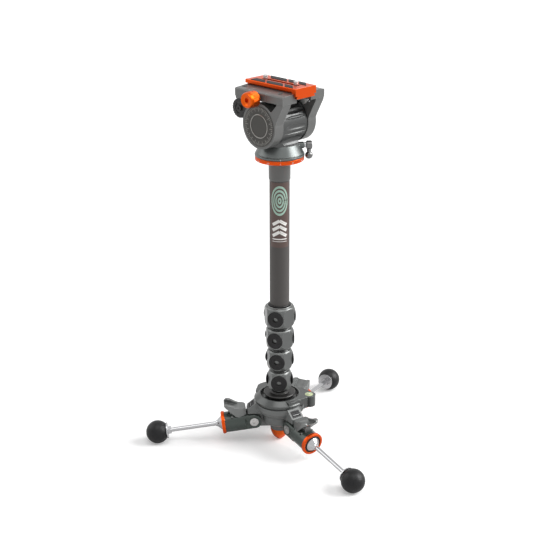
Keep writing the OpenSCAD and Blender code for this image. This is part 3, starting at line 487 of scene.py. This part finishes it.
SLEEVE_GREEN = Finish("sleeve_green_grey", "leg_green_grey", (0.050, 0.063, 0.056), 0.32,
                      metallic=0.3, coat=0.3, coat_roughness=0.25, grain=Grain.CAST,
                      depth=0.008 * MM, edge_colour=(0.16, 0.18, 0.17), shine=0.3)
ORANGE = Finish("orange_finish", "orange_anodised", (0.66, 0.070, 0.004), 0.32, metallic=0.8,
                shine=0.3, edge_colour=(0.95, 0.25, 0.06))
ORANGE_CAP = Finish("orange_cap", "orange_anodised", (0.78, 0.115, 0.010), 0.28, metallic=0.75)
RUBBER = Finish("ball_rubber", "rubber", (0.009, 0.009, 0.010), 0.42, grain=Grain.STIPPLE,
                grain_scale=560.0, depth=0.10 * MM, shine=0.28)
GRIP_RUBBER = Finish("grip_rubber", "rubber", (0.022, 0.021, 0.022), 0.55, grain=Grain.STIPPLE,
                     grain_scale=1100.0, depth=0.10 * MM, shine=0.25)
PAD_RUBBER = Finish("plate_rubber", "rubber", (0.024, 0.023, 0.024), 0.6, grain=Grain.STIPPLE,
                    grain_scale=1300.0, depth=0.06 * MM, shine=0.25)
STEEL = Finish("polished_steel", "steel", (0.46, 0.46, 0.47), 0.16, metallic=1.0,
               edge_radius=0.25 * MM)
SATIN_STEEL = Finish("satin_steel", "steel", (0.50, 0.49, 0.48), 0.28, metallic=1.0,
                     edge_radius=0.25 * MM)
BALL_STEEL = Finish("ball_steel", "steel", (0.5, 0.5, 0.5), 0.25, metallic=1.0)
SEAT = Finish("seat_finish", "seat_plastic", (0.55, 0.52, 0.45), 0.5)
BLACK_PLASTIC = Finish("black_moulding", "black_plastic", (0.012, 0.012, 0.013), 0.38,
                       grain=Grain.CAST, shine=0.25)
DARK_METAL = Finish("dark_metal_finish", "dark_metal", (0.026, 0.025, 0.024), 0.36, metallic=0.4,
                    grain=Grain.CAST, edge_colour=(0.12, 0.12, 0.12))
RELEASE_GREY = Finish("release_grey", "ring_grey", (0.185, 0.191, 0.188), 0.40, metallic=0.6,
                      coat=0.1, grain=Grain.CAST, edge_colour=(0.40, 0.42, 0.41))
COLLAR_DARK = Finish("collar_dark", "dark_metal", (0.105, 0.106, 0.103), 0.36, metallic=0.4,
                     coat=0.15, grain=Grain.CAST, edge_colour=(0.20, 0.20, 0.20))
LEVER_METAL = Finish("lock_lever_metal", "cast_grey", (0.17, 0.17, 0.17), 0.24, metallic=0.8,
                     edge_colour=(0.45, 0.45, 0.45))
WHITE_PAINT = Finish("white_paint", "orange_anodised", (0.78, 0.76, 0.72), 0.5)
VIAL = Finish("level_vial", "bubble", (0.52, 0.60, 0.33), 0.12, coat=0.6)
# The level's air bubble; its pale colour is a painted highlight
BUBBLE_HIGHLIGHT = Finish("level_bubble_highlight", "bubble", (0.80, 0.86, 0.62), 0.2, coat=0.5)
LABEL_GROUND = Finish("label_ground", "carbon", (0.085, 0.052, 0.044), 0.42)
LABEL_MINT = Finish("label_mint", "carbon", (0.33, 0.50, 0.41), 0.45)
LABEL_WHITE = Finish("label_white", "carbon", (0.80, 0.79, 0.76), 0.45)
DIAL_RAY = Finish("dial_ray", "dial_grey", (0.36, 0.35, 0.33), 0.30, metallic=0.7)
LIGHT_BAR = Finish("light_bar", "black_plastic", (0.42, 0.43, 0.43), 0.4)


@dataclass
class Bench:
    """Turns bmeshes into finished pieces of the object."""

    made: list[str] = field(default_factory=list)
    # Largest angle that is shaded smooth, in degrees
    smooth: float = 35.0

    def piece(self, name: str, bm: BMesh, body: str, finish: Finish,
              place: Matrix | None = None) -> Object:
        """Makes one object from a bmesh and puts it on its body.

        Args:
            name: The piece's name.
            bm: Its mesh in metres; it is freed here.
            body: The CAD body that it rides on.
            finish: Its finish.
            place: Where the mesh goes in the part's frame.

        Returns:
            The object.
        """
        bmesh.ops.remove_doubles(bm, verts=bm.verts, dist=FINE_WELD)
        bmesh.ops.recalc_face_normals(bm, faces=bm.faces)
        if place is not None:
            bmesh.ops.transform(bm, matrix=place, verts=bm.verts)
        for face in bm.faces:
            face.smooth = True
        limit = math.radians(self.smooth)
        for edge in bm.edges:
            if len(edge.link_faces) == 2 and edge.calc_face_angle(0.0) > limit:
                edge.smooth = False
        mesh = mesh_of(bm, name)
        obj = linked(name, mesh)
        mesh.materials.append(finish.make())
        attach(obj, body)
        self.made.append(name)
        log.info("made %s on %s", name, body)
        return obj

    def dress(self, finish: Finish, *nodes: str) -> None:
        """Gives CAD nodes their finish."""
        for node in nodes:
            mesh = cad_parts[node].data
            mesh.materials.clear()
            mesh.materials.append(finish.make())


BENCH = Bench()


def turned(profile: list[Pair], segments: int, closed: bool = False) -> BMesh:
    """Turns a profile of radius and height about +Z.

    Args:
        profile: Radius and height of each point, in metres.
        segments: Steps round the axis.
        closed: Whether the last point joins the first, as on a ring.

    Returns:
        The turned mesh.
    """
    bm = bmesh.new()
    verts = [bm.verts.new((r, 0.0, z)) for r, z in profile]
    pairs = list(zip(verts, verts[1:]))
    if closed:
        pairs.append((verts[-1], verts[0]))
    edges = [bm.edges.new(pair) for pair in pairs]
    bmesh.ops.spin(bm, geom=verts + edges, cent=(0, 0, 0), axis=(0, 0, 1), angle=2 * math.pi,
                   steps=segments, use_merge=True)
    return bm


def ring_band(r_in: float, r_out: float, z0: float, z1: float, chamfer: float = 0.1 * MM,
              segments: int = RING) -> BMesh:
    """A flat ring with chamfered edges, about +Z.

    Args:
        r_in: Bore's radius.
        r_out: Outer radius.
        z0: Lower face.
        z1: Upper face.
        chamfer: Size of the chamfers.
        segments: Steps round the axis.

    Returns:
        The ring's mesh.
    """
    c = chamfer
    return turned([(r_in, z0), (r_out - c, z0), (r_out, z0 + c), (r_out, z1 - c), (r_out - c, z1),
                   (r_in + c, z1), (r_in, z1 - c)], segments, closed=True)


def block(size: Triple, centre: Triple, bevel: float = 0.0) -> BMesh:
    """A box with rounded edges.

    Args:
        size: Its three sizes.
        centre: Its middle.
        bevel: Radius of its edges.

    Returns:
        The box's mesh.
    """
    bm = bmesh.new()
    bmesh.ops.create_cube(bm, size=1.0)
    bmesh.ops.scale(bm, vec=size, verts=bm.verts)
    if bevel:
        bmesh.ops.bevel(bm, geom=bm.edges[:], offset=bevel, affect="EDGES", segments=2, profile=0.5,
                        material=-1)
    bmesh.ops.translate(bm, vec=centre, verts=bm.verts)
    return bm


def merged(parts: list[BMesh]) -> BMesh:
    """Joins several meshes into one.

    Args:
        parts: The meshes, freed here.

    Returns:
        One mesh that holds them all.
    """
    whole = bmesh.new()
    for part in parts:
        mesh = mesh_of(part, "part")
        whole.from_mesh(mesh)
        bpy.data.meshes.remove(mesh)
    return whole


def moved(bm: BMesh, matrix: Matrix) -> BMesh:
    """Moves a mesh and gives it back."""
    bmesh.ops.transform(bm, matrix=matrix, verts=bm.verts)
    return bm


def turn(degrees: float, axis: str) -> Matrix:
    """A turn about one of the part's axes."""
    return Matrix.Rotation(math.radians(degrees), 4, axis)


def shift(x: float = 0.0, y: float = 0.0, z: float = 0.0) -> Matrix:
    """A shift by three lengths in metres."""
    return Matrix.Translation((x, y, z))


ALONG_X = turn(90, "Y")


def flat_ring(inner: float, outer: float) -> BMesh:
    """A flat ring in the XY plane.

    Args:
        inner: Inner radius.
        outer: Outer radius.

    Returns:
        The flat mesh.
    """
    bm = bmesh.new()
    ends = [bm.verts.new((r, 0.0, 0.0)) for r in (inner, outer)]
    edge = bm.edges.new(ends)
    bmesh.ops.spin(bm, geom=[*ends, edge], cent=(0, 0, 0), axis=(0, 0, 1), angle=2 * math.pi,
                   steps=RING, use_merge=False)
    return bm


def panel(width: float, height: float, columns: int = 20) -> BMesh:
    """A flat panel in the XY plane, cut into columns so that it can bend.

    Args:
        width: Its size along X.
        height: Its size along Y.
        columns: Faces along X.

    Returns:
        The flat mesh.
    """
    bm = bmesh.new()
    bmesh.ops.create_grid(bm, x_segments=columns, y_segments=1, size=0.5)
    bmesh.ops.scale(bm, vec=(width, height, 1.0), verts=bm.verts)
    return bm


def wrapped(bm: BMesh, radius: float, facing: float, height: float, thick: float) -> BMesh:
    """Bends a flat mesh round the column's axis and gives it thickness.

    Args:
        bm: Flat mesh, X round the tube and Y up it.
        radius: Radius of its inner face.
        facing: Direction of its middle, in degrees from +X towards +Y.
        height: Height of its middle.
        thick: Its thickness, outwards.

    Returns:
        The bent mesh.
    """
    for vert in bm.verts:
        a = math.radians(facing) + vert.co.x / radius
        vert.co = Vector((radius * math.cos(a), radius * math.sin(a), height + vert.co.y))
    bmesh.ops.recalc_face_normals(bm, faces=bm.faces)
    outward = sum((f.normal.dot(Vector((f.calc_center_median().x, f.calc_center_median().y, 0)))
                   for f in bm.faces), 0.0)
    if outward < 0:
        bmesh.ops.reverse_faces(bm, faces=bm.faces)
    bmesh.ops.solidify(bm, geom=bm.faces[:], thickness=-thick)
    return bm


def numeral(text: str, height: float) -> BMesh:
    """A flat number in the XY plane, centred.

    Args:
        text: The digits.
        height: Size of the letters.

    Returns:
        The flat mesh.
    """
    curve = bpy.data.curves.new("digits", "FONT")
    curve.body = text
    curve.size = height
    curve.align_x = "CENTER"
    curve.align_y = "CENTER"
    obj = bpy.data.objects.new("digits", curve)
    mesh = bpy.data.meshes.new_from_object(obj)
    bm = bmesh.new()
    bm.from_mesh(mesh)
    bpy.data.objects.remove(obj)
    bpy.data.curves.remove(curve)
    bpy.data.meshes.remove(mesh)
    bmesh.ops.remove_doubles(bm, verts=bm.verts, dist=WELD)
    return bm


@dataclass
class Studio:
    """Floor, lights and camera, as in a plain product picture."""

    camera_place: Triple = (1.1242, 1.1148, 0.8839)
    camera_aim: Triple = (0.0, 0.0, 0.26474)
    lens: float = 77.49
    sideways: float = -0.0083
    clip_end: float = 60.0
    floor_half: float = 9.0
    floor_drop: float = 0.1 * MM
    floor_tone: float = 0.86
    floor_lift: float = 0.26
    sky: float = 0.30
    # Name, azimuth, height above the horizon, strength and width of each lamp
    lamps: tuple[tuple[str, float, float, float, float], ...] = (
        ("key", 226.0, 34.0, 3.4, 40.0), ("rim", 30.0, 34.0, 0.5, 40.0),
        ("top", 150.0, 72.0, 0.8, 40.0)
    )

    def build(self) -> None:
        """Builds the floor, the world, the lamps and the camera."""
        self._camera()
        self._floor()
        self._world()
        self._lamps()
        bpy.context.scene.view_settings.view_transform = "Standard"

    def _camera(self) -> None:
        """Creates the camera at the photograph's viewing angle."""
        data = bpy.data.cameras.new("camera")
        data.lens = self.lens
        data.shift_x = self.sideways
        data.clip_end = self.clip_end
        cam = linked("camera", data)
        place = Vector(self.camera_place)
        cam.location = place
        cam.rotation_mode = "QUATERNION"
        cam.rotation_quaternion = (Vector(self.camera_aim) - place).to_track_quat("-Z", "Y")
        bpy.context.scene.camera = cam

    def _floor(self) -> None:
        """Lays a pale floor that keeps the object's shadow."""
        bm = bmesh.new()
        bmesh.ops.create_grid(bm, x_segments=1, y_segments=1, size=self.floor_half)
        mesh = mesh_of(bm, "floor")
        floor = linked("floor", mesh)
        floor.location.z = -self.floor_drop
        mat = bpy.data.materials.new("pale_floor")
        mat.use_nodes = True
        nt = mat.node_tree
        shader = nt.nodes["Principled BSDF"]
        tone = self.floor_tone
        fill(shader, {"Base Color": (tone, tone, tone, 1.0), "Roughness": 0.9,
                      "Specular IOR Level": 0.0, "Emission Color": (1.0, 1.0, 1.0, 1.0)})
        path = nt.nodes.new("ShaderNodeLightPath")
        lift = nt.nodes.new("ShaderNodeMath")
        lift.operation = "MULTIPLY"
        lift.inputs[1].default_value = self.floor_lift
        nt.links.new(path.outputs["Is Camera Ray"], lift.inputs[0])
        nt.links.new(lift.outputs[0], shader.inputs["Emission Strength"])
        mesh.materials.append(mat)

    def _world(self) -> None:
        """Sets a white background over a soft even sky light."""
        world = bpy.data.worlds.new("studio")
        bpy.context.scene.world = world
        world.use_nodes = True
        nt = world.node_tree
        nt.nodes.clear()
        out = nt.nodes.new("ShaderNodeOutputWorld")
        back = nt.nodes.new("ShaderNodeBackground")
        path = nt.nodes.new("ShaderNodeLightPath")
        seen = path.outputs["Is Camera Ray"]
        for ray in ("Is Transmission Ray", "Is Glossy Ray"):
            either = nt.nodes.new("ShaderNodeMath")
            either.operation = "MAXIMUM"
            nt.links.new(seen, either.inputs[0])
            nt.links.new(path.outputs[ray], either.inputs[1])
            seen = either.outputs[0]
        level = nt.nodes.new("ShaderNodeMapRange")
        fill(level, {"To Min": self.sky, "To Max": 1.0})
        nt.links.new(seen, level.inputs["Value"])
        fill(back, {"Color": (1.0, 1.0, 1.0, 1.0)})
        nt.links.new(level.outputs[0], back.inputs["Strength"])
        nt.links.new(back.outputs[0], out.inputs["Surface"])

    def _lamps(self) -> None:
        """Adds three soft suns: from the right, from the left and from above."""
        for name, azimuth, height, strength, spread in self.lamps:
            data = bpy.data.lights.new(name, "SUN")
            data.energy = strength
            data.angle = math.radians(spread)
            lamp = linked(name, data)
            a, e = math.radians(azimuth), math.radians(height)
            source = Vector((math.sin(a) * math.cos(e), -math.cos(a) * math.cos(e), math.sin(e)))
            lamp.rotation_mode = "QUATERNION"
            lamp.rotation_quaternion = source.to_track_quat("Z", "Y")


@dataclass
class Foot:
    """Hub, three folding legs and their release levers."""

    leg_angles: tuple[float, ...] = (78.6, 198.6, 318.6)
    pivot_r: float = 38.6 * MM
    pivot_z: float = 35.0 * MM
    slope: float = 7.159
    sleeve_end: float = 47.5 * MM
    seal_r: Pair = (10.6 * MM, 13.3 * MM)
    seal_span: Pair = (-0.2 * MM, 0.35 * MM)
    cap_face: float = 13.75 * MM
    spokes: int = 5
    spoke_in: float = 2.7 * MM
    spoke_out: float = 5.7 * MM
    spoke_w: float = 0.9 * MM
    thick: float = 0.5 * MM
    rounding: float = 0.15 * MM
    window: Triple = (42.6 * MM, 0.0, 59.0 * MM)
    window_slope: float = 40.0
    bar_w: float = 0.9 * MM
    bar_l: float = 11.0 * MM
    bar_at: Triple = (1.5 * MM, 0.0, 0.3 * MM)

    def leg_place(self, angle: float) -> Matrix:
        """The frame of a leg: X outwards along it, origin on its pivot."""
        return turn(angle, "Z") @ shift(self.pivot_r, 0, self.pivot_z) @ turn(self.slope, "Y")

    def build(self) -> None:
        """Dresses the foot's solids and adds its trim."""
        BENCH.dress(FOOT_GREY, "hub")
        BENCH.dress(BLACK_PLASTIC, "lug_inserts")
        BENCH.dress(ORANGE_CAP, "bottom_cap")
        BENCH.dress(SATIN_STEEL, "pivot_bolts")
        for i, angle in enumerate(self.leg_angles, 1):
            BENCH.dress(SLEEVE_GREEN, f"leg_body_{i}")
            BENCH.dress(ORANGE, f"leg_ring_{i}")
            BENCH.dress(STEEL, f"leg_rod_{i}")
            BENCH.dress(RUBBER, f"foot_ball_{i}")
            BENCH.dress(RELEASE_GREY, f"release_lever_{i}")
            self._seal(i, angle)
            self._bolt_faces(i, angle)
            self._window_bar(i, angle)

    def _seal(self, i: int, angle: float) -> None:
        """Puts the black seal round a rod's cone."""
        bm = ring_band(*self.seal_r, *self.seal_span)
        place = self.leg_place(angle) @ shift(self.sleeve_end) @ ALONG_X
        BENCH.piece(f"rod_seal_{i}", bm, f"leg_{i}", BLACK_PLASTIC, place)

    def _bolt_faces(self, i: int, angle: float) -> None:
        """Puts a ring of spokes on both caps of a pivot bolt."""
        parts = []
        for side in (1, -1):
            for k in range(self.spokes):
                rib = block((self.spoke_out - self.spoke_in, self.spoke_w, self.thick),
                            ((self.spoke_in + self.spoke_out) / 2, 0, 0), self.rounding)
                face = shift(y=side * self.cap_face) @ turn(90, "X")
                parts.append(moved(rib, face @ turn(360 * k / self.spokes, "Z")))
        place = turn(angle, "Z") @ shift(self.pivot_r, 0, self.pivot_z)
        BENCH.piece(f"bolt_spokes_{i}", merged(parts), "foot", STEEL, place)

    def _window_bar(self, i: int, angle: float) -> None:
        """Puts the light bar on a shoulder's ribbed cover."""
        bm = block((self.bar_w, self.bar_l, self.thick), self.bar_at, self.rounding)
        place = turn(angle, "Z") @ shift(*self.window) @ turn(self.window_slope, "Y")
        BENCH.piece(f"window_bar_{i}", bm, "foot", LIGHT_BAR, place)


@dataclass
class BallBase:
    """Locking ring, spirit level, tilting ball and its seat."""

    vial_angle: float = 128.6
    vial_r: float = 44.2 * MM
    vial_top: float = 76.8 * MM
    circle_r: Pair = (1.9 * MM, 2.25 * MM)
    circle_span: Pair = (-0.05 * MM, 0.06 * MM)
    circle_chamfer: float = 0.02 * MM
    bubble_r: float = 1.5 * MM
    bubble_flat: float = 0.18
    bubble_off: Pair = (0.4 * MM, 0.3 * MM)
    groove_r: Pair = (24.4 * MM, 28.2 * MM)
    dish_floor: float = 71.2 * MM
    rib_count: int = 60
    rib_w: float = 0.9 * MM
    rib_h: float = 0.4 * MM
    band_h: float = 0.3 * MM
    rounding: float = 0.1 * MM

    def build(self) -> None:
        """Dresses the ball base and adds its trim."""
        BENCH.dress(RING_GREY, "lock_ring")
        BENCH.dress(VIAL, "bubble_level")
        BENCH.dress(SEAT, "ball_seat")
        BENCH.dress(BALL_STEEL, "tilt_ball")
        BENCH.dress(DARK_METAL, "column_flange")
        self._level()
        self._dish()

    def _level(self) -> None:
        """Puts the bubble, coloured pale as a painted highlight, and its black circle on the spirit
        level.
        """
        place = turn(self.vial_angle, "Z") @ shift(self.vial_r, 0, self.vial_top)
        circle = ring_band(*self.circle_r, *self.circle_span, self.circle_chamfer, SMALL_RING)
        BENCH.piece("level_circle", circle, "lock_ring", BLACK_PLASTIC, place)
        bubble = bmesh.new()
        bmesh.ops.create_uvsphere(bubble, u_segments=24, v_segments=12, radius=self.bubble_r)
        bmesh.ops.scale(bubble, vec=(1, 1, self.bubble_flat), verts=bubble.verts)
        BENCH.piece("level_bubble", bubble, "lock_ring", BUBBLE_HIGHLIGHT, place @ shift(*self.bubble_off))

    def _dish(self) -> None:
        """Puts the ribbed ring into the locking ring's dish."""
        inner, outer = self.groove_r
        centre = ((inner + outer) / 2, 0, self.dish_floor + self.rib_h)
        ribs = []
        for k in range(self.rib_count):
            rib = block((outer - inner, self.rib_w, self.rib_h), centre, self.rounding)
            ribs.append(moved(rib, turn(360 / self.rib_count * k, "Z")))
        ribs.append(ring_band(inner, outer, self.dish_floor, self.dish_floor + self.band_h,
                              self.rounding, LARGE_RING))
        BENCH.piece("dish_ribs", merged(ribs), "lock_ring", DARK_METAL)


@dataclass
class Column:
    """Nested tubes, twist locks and the collar."""

    radii: tuple[float, ...] = (14.25 * MM, 12.55 * MM, 10.85 * MM, 9.15 * MM, 7.45 * MM)
    tow: float = 1.1 * MM
    bush_top: float = 220.5 * MM
    band_gap: float = 0.05 * MM
    band_wall: float = 1.5 * MM
    band_h: float = 1.3 * MM
    band_chamfer: float = 0.4 * MM
    label_w: float = 30.5 * MM
    label_h: float = 95.0 * MM
    label_z: float = 359.0 * MM
    label_facing: float = 44.8
    ripples: tuple[float, ...] = (0.9 * MM, 4.2 * MM, 7.5 * MM, 10.8 * MM)
    ripple_w: float = 1.9 * MM
    ripple_tall: float = 1.7
    ripple_z: float = 21.5 * MM
    chevron_z: float = -19.0 * MM
    chevron_step: float = 8.2 * MM
    stroke: Pair = (12.6 * MM, 4.4 * MM)
    stroke_x: float = 5.3 * MM
    stroke_turn: float = 32.0
    line_w: float = 21.96 * MM
    # Drop below the chevrons and height of each line
    lines: tuple[Pair, ...] = ((16.0 * MM, 1.6 * MM), (19.5 * MM, 0.8 * MM))
    lifts: Triple = (0.03 * MM, 0.08 * MM, 0.12 * MM)
    layer: float = 0.04 * MM

    def build(self) -> None:
        """Dresses the column."""
        for i, radius in enumerate(self.radii, 1):
            weave = Finish(f"carbon_tube_{i}", "carbon", (0.040, 0.036, 0.034), 0.55,
                           grain=Grain.WEAVE, depth=0.03 * MM, light=(0.070, 0.064, 0.060),
                           span=(radius, self.tow))
            BENCH.dress(weave, f"tube_{i}")
            BENCH.dress(BLACK_PLASTIC, f"tube_bush_{i}")
        for i in range(1, len(self.radii)):
            BENCH.dress(LOCK_GREY, f"twist_lock_{i}")
            BENCH.dress(GRIP_RUBBER, f"grip_pads_{i}")
        BENCH.dress(COLLAR_DARK, "top_collar")
        self._bush_ring()
        self._label()

    def _bush_ring(self) -> None:
        """Puts the lighter band between the two dark rings above the top twist lock."""
        bm = ring_band(self.radii[0] + self.band_gap, self.radii[0] + self.band_wall, self.bush_top,
                       self.bush_top + self.band_h, self.band_chamfer, LARGE_RING)
        BENCH.piece("column_ring", bm, "section_1", DARK_METAL)

    def _label(self) -> None:
        """Wraps a plain patterned label round the widest tube."""
        ground = panel(self.label_w, self.label_h)
        self._label_layer("label_ground", ground, LABEL_GROUND, self.lifts[0])
        tall = Matrix.Diagonal((1.0, self.ripple_tall, 1.0, 1.0))
        ripples = [flat_ring(radius, radius + self.ripple_w) for radius in self.ripples]
        pattern = moved(merged(ripples), shift(y=self.ripple_z) @ tall)
        self._label_layer("label_motif", pattern, LABEL_MINT, self.lifts[1])
        marks = []
        for k in (-1, 0, 1):
            for side in (1, -1):
                stroke = moved(panel(*self.stroke, columns=8), turn(side * self.stroke_turn, "Z"))
                place = shift(-side * self.stroke_x, self.chevron_z + k * self.chevron_step)
                marks.append(moved(stroke, place))
        for drop, height in self.lines:
            marks.append(moved(panel(self.line_w, height), shift(y=self.chevron_z - drop)))
        self._label_layer("label_bars", merged(marks), LABEL_WHITE, self.lifts[2])

    def _label_layer(self, name: str, flat: BMesh, finish: Finish, lift: float) -> None:
        """Wraps one flat layer of the label round the tube, a little above it."""
        bent = wrapped(flat, self.radii[0] + lift, self.label_facing, self.label_z, self.layer)
        BENCH.piece(name, bent, "section_1", finish)


@dataclass
class FluidHead:
    """Pan base, drum, side plates and levers."""

    tilt_z: float = 490.2 * MM
    dial_x: float = 39.9 * MM
    dial_pattern: Pair = (18.0 * MM, 26.0 * MM)
    ring_r: Pair = (15.4 * MM, 16.5 * MM)
    ring_low: float = 0.5 * MM
    ring_high: float = 0.3 * MM
    chamfer: float = 0.4 * MM
    ray_count: int = 60
    ray_every: int = 3
    ray_out: float = 26.6 * MM
    ray_long: float = 6.0 * MM
    ray_short: float = 3.2 * MM
    ray_w: float = 0.5 * MM
    ray_h: float = 0.3 * MM
    ray_rounding: float = 0.1 * MM
    scale_r: float = 34.02 * MM
    scale_top: float = 441.95 * MM
    scale_low: float = 438.9 * MM
    scale_zero: float = 46.8
    tick_count: int = 72
    tick_every: int = 6
    tick_w: float = 0.4 * MM
    tick_long: float = 1.9 * MM
    tick_short: float = 1.1 * MM
    number_count: int = 12
    number_h: float = 2.9 * MM
    number_thick: float = 0.12 * MM
    index_r: float = 34.4 * MM
    index_z: float = 444.6 * MM
    index_size: Triple = (0.5 * MM, 0.6 * MM, 2.0 * MM)
    pan_lock_angle: float = 142.0
    pan_lock_z: float = 456.0 * MM
    tilt_lock_z: float = 470.2 * MM
    pan_stud: float = 33.8 * MM
    tilt_stud: float = 30.8 * MM
    stud_r: Pair = (2.4 * MM, 3.7 * MM)
    stud_l: float = 2.9 * MM

    def build(self) -> None:
        """Dresses the head and adds its trim."""
        BENCH.dress(ORANGE, "degree_ring")
        BENCH.dress(SKIRT_GREY, "pan_housing")
        BENCH.dress(DRUM_GREY, "head_barrel")
        BENCH.dress(LEVER_METAL, "pan_lock_lever", "tilt_lock_lever")
        BENCH.dress(STEEL, "tilt_cartridge")
        BENCH.dress(HEAD_GREY, "side_plates")
        BENCH.dress(DARK_METAL, "handle_rosettes")
        BENCH.dress(Finish("dial_face", "dial_grey", (0.054, 0.052, 0.047), 0.42, metallic=0.5,
                           grain=Grain.RELIEF, depth=0.12 * MM, axis=(0.0, 0.0, self.tilt_z),
                           span=self.dial_pattern), "side_caps")
        self._dials()
        self._scale()
        self._studs()

    def _dials(self) -> None:
        """Puts a bright ring and a circle of rays on both dials."""
        for side in Side:
            place = shift(z=self.tilt_z) @ turn(90 * side.value, "Y")
            name = side.name.lower()
            ring = ring_band(*self.ring_r, self.dial_x - self.ring_low,
                             self.dial_x + self.ring_high, self.chamfer, LARGE_RING)
            BENCH.piece(f"dial_ring_{name}", ring, "tilt_head", DIAL_RAY, place)
            rays = []
            for k in range(self.ray_count):
                length = self.ray_long if k % self.ray_every == 0 else self.ray_short
                ray = block((length, self.ray_w, self.ray_h),
                            (self.ray_out - length / 2, 0, self.dial_x), self.ray_rounding)
                rays.append(moved(ray, turn(360 / self.ray_count * k, "Z")))
            BENCH.piece(f"dial_rays_{name}", merged(rays), "tilt_head", DIAL_RAY, place)

    def _scale(self) -> None:
        """Puts marks and numbers round the graduated ring."""
        ticks = []
        for k in range(self.tick_count):
            tall = self.tick_long if k % self.tick_every == 0 else self.tick_short
            tick = block((self.tick_w, self.tick_w, tall),
                         (self.scale_r, 0, self.scale_top - tall / 2))
            ticks.append(moved(tick, turn(360 / self.tick_count * k, "Z")))
        BENCH.piece("scale_ticks", merged(ticks), "section_1", DARK_METAL)
        digits = []
        for degrees in range(0, 360, 360 // self.number_count):
            digits.append(wrapped(numeral(str(degrees), self.number_h), self.scale_r,
                                  degrees + self.scale_zero, self.scale_low, self.number_thick))
        BENCH.piece("scale_numbers", merged(digits), "section_1", WHITE_PAINT)
        index = block(self.index_size, (self.index_r, 0, self.index_z))
        BENCH.piece("scale_index", index, "pan_head", WHITE_PAINT, turn(self.scale_zero, "Z"))

    def _studs(self) -> None:
        """Puts a bright collar on the stud of each lock lever."""
        pan = turn(self.pan_lock_angle, "Z") @ shift(z=self.pan_lock_z) @ ALONG_X
        tilt = turn(-90, "Z") @ shift(z=self.tilt_lock_z) @ ALONG_X
        for name, place, start in (("pan", pan, self.pan_stud), ("tilt", tilt, self.tilt_stud)):
            collar = ring_band(*self.stud_r, start, start + self.stud_l, self.chamfer, SMALL_RING)
            BENCH.piece(f"{name}_stud_collar", collar, f"{name}_lever", STEEL, place)


@dataclass
class CameraPlate:
    """Platform, clamp and the quick-release plate."""

    knob_place: Triple = (0.0, -3.5 * MM, 528.2 * MM)
    knob_ribs: float = 40.0
    knob_x: Pair = (44.5 * MM, 54.6 * MM)
    screw_y: Pair = (30.5 * MM, -27.0 * MM)
    thread_r: Pair = (2.9 * MM, 3.3 * MM)
    thread_z: tuple[float, ...] = (546.3 * MM, 547.4 * MM, 548.5 * MM)
    thread_h: float = 0.55 * MM
    thread_chamfer: float = 0.22 * MM
    # Place and radius of the two pins; the first faces forwards, the second along X
    pins: tuple[tuple[float, float, float, float], ...] = (
        (-12.8 * MM, 33.6 * MM, 530.2 * MM, 1.5 * MM), (-24.2 * MM, 33.0 * MM, 520.4 * MM, 1.7 * MM)
    )
    pin_z: Triple = (-0.4 * MM, 1.6 * MM, 2.3 * MM)
    pin_tip: float = 0.6
    pin_steps: int = 24
    rail_from: float = 532.8 * MM
    rail_x: Pair = (17.0 * MM, 39.0 * MM)
    rail_lift: Pair = (3.9 * MM, 2.2 * MM)

    def build(self) -> None:
        """Dresses the platform and the plate."""
        self._raised_rail("tilt_platform", "tilt_head")
        self._raised_rail("clamp_jaw", "clamp_jaw")
        BENCH.dress(Finish("knob_orange", "orange_knob", (0.66, 0.090, 0.004), 0.32, metallic=0.9,
                           shine=0.3, grain=Grain.KNURL, depth=0.18 * MM, axis=self.knob_place,
                           span=self.knob_x, count=self.knob_ribs, edge_colour=(0.85, 0.24, 0.05)),
                    "clamp_knob")
        BENCH.dress(ORANGE_CAP, "safety_button")
        BENCH.dress(ORANGE, "quick_release_plate")
        BENCH.dress(PAD_RUBBER, "plate_pads")
        BENCH.dress(SATIN_STEEL, "camera_screw_front", "camera_screw_rear")
        for name, y in zip(("front", "rear"), self.screw_y):
            self._thread(name, y)
        self._pins()

    def _raised_rail(self, node: str, body: str) -> None:
        """Gives a copy of a CAD node a higher rail and lets it take the node's place.

        Args:
            node: The CAD node that carries the rail.
            body: The body that the node rides on.
        """
        bm = bmesh.new()
        bm.from_mesh(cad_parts[node].data)
        bmesh.ops.remove_doubles(bm, verts=bm.verts, dist=WELD)
        inner, outer = self.rail_x
        for vert in bm.verts:
            if vert.co.z > self.rail_from:
                share = min(max((abs(vert.co.x) - inner) / (outer - inner), 0.0), 1.0)
                vert.co.z += self.rail_lift[0] + share * (self.rail_lift[1] - self.rail_lift[0])
        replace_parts(BENCH.piece(f"{node}_raised", bm, body, HEAD_GREY), node)

    def _thread(self, name: str, y: float) -> None:
        """Puts thread ridges on a camera screw's end."""
        ridges = [ring_band(*self.thread_r, z, z + self.thread_h, self.thread_chamfer, SMALL_RING)
                  for z in self.thread_z]
        place = shift(y=y)
        BENCH.piece(f"screw_thread_{name}", merged(ridges), f"{name}_screw", SATIN_STEEL, place)

    def _pins(self) -> None:
        """Puts a small steel stop pin and a screw in front of the platform's channel."""
        low, high, tip = self.pin_z
        parts = []
        for (x, y, z, r), facing in zip(self.pins, (turn(-90, "X"), ALONG_X)):
            profile = [(0, low), (r, low), (r, high), (self.pin_tip * r, tip), (0, tip)]
            parts.append(moved(turned(profile, self.pin_steps), shift(x, y, z) @ facing))
        BENCH.piece("channel_pins", merged(parts), "tilt_head", STEEL)


def main() -> None:
    """Builds every sub-assembly in order."""
    logging.basicConfig(level=logging.INFO, format="%(message)s")
    Studio().build()
    for section in (Foot(), BallBase(), Column(), FluidHead(), CameraPlate()):
        section.build()
        log.info("built %s, %d pieces made so far", type(section).__name__, len(BENCH.made))


if __name__ == "__main__":
    main()
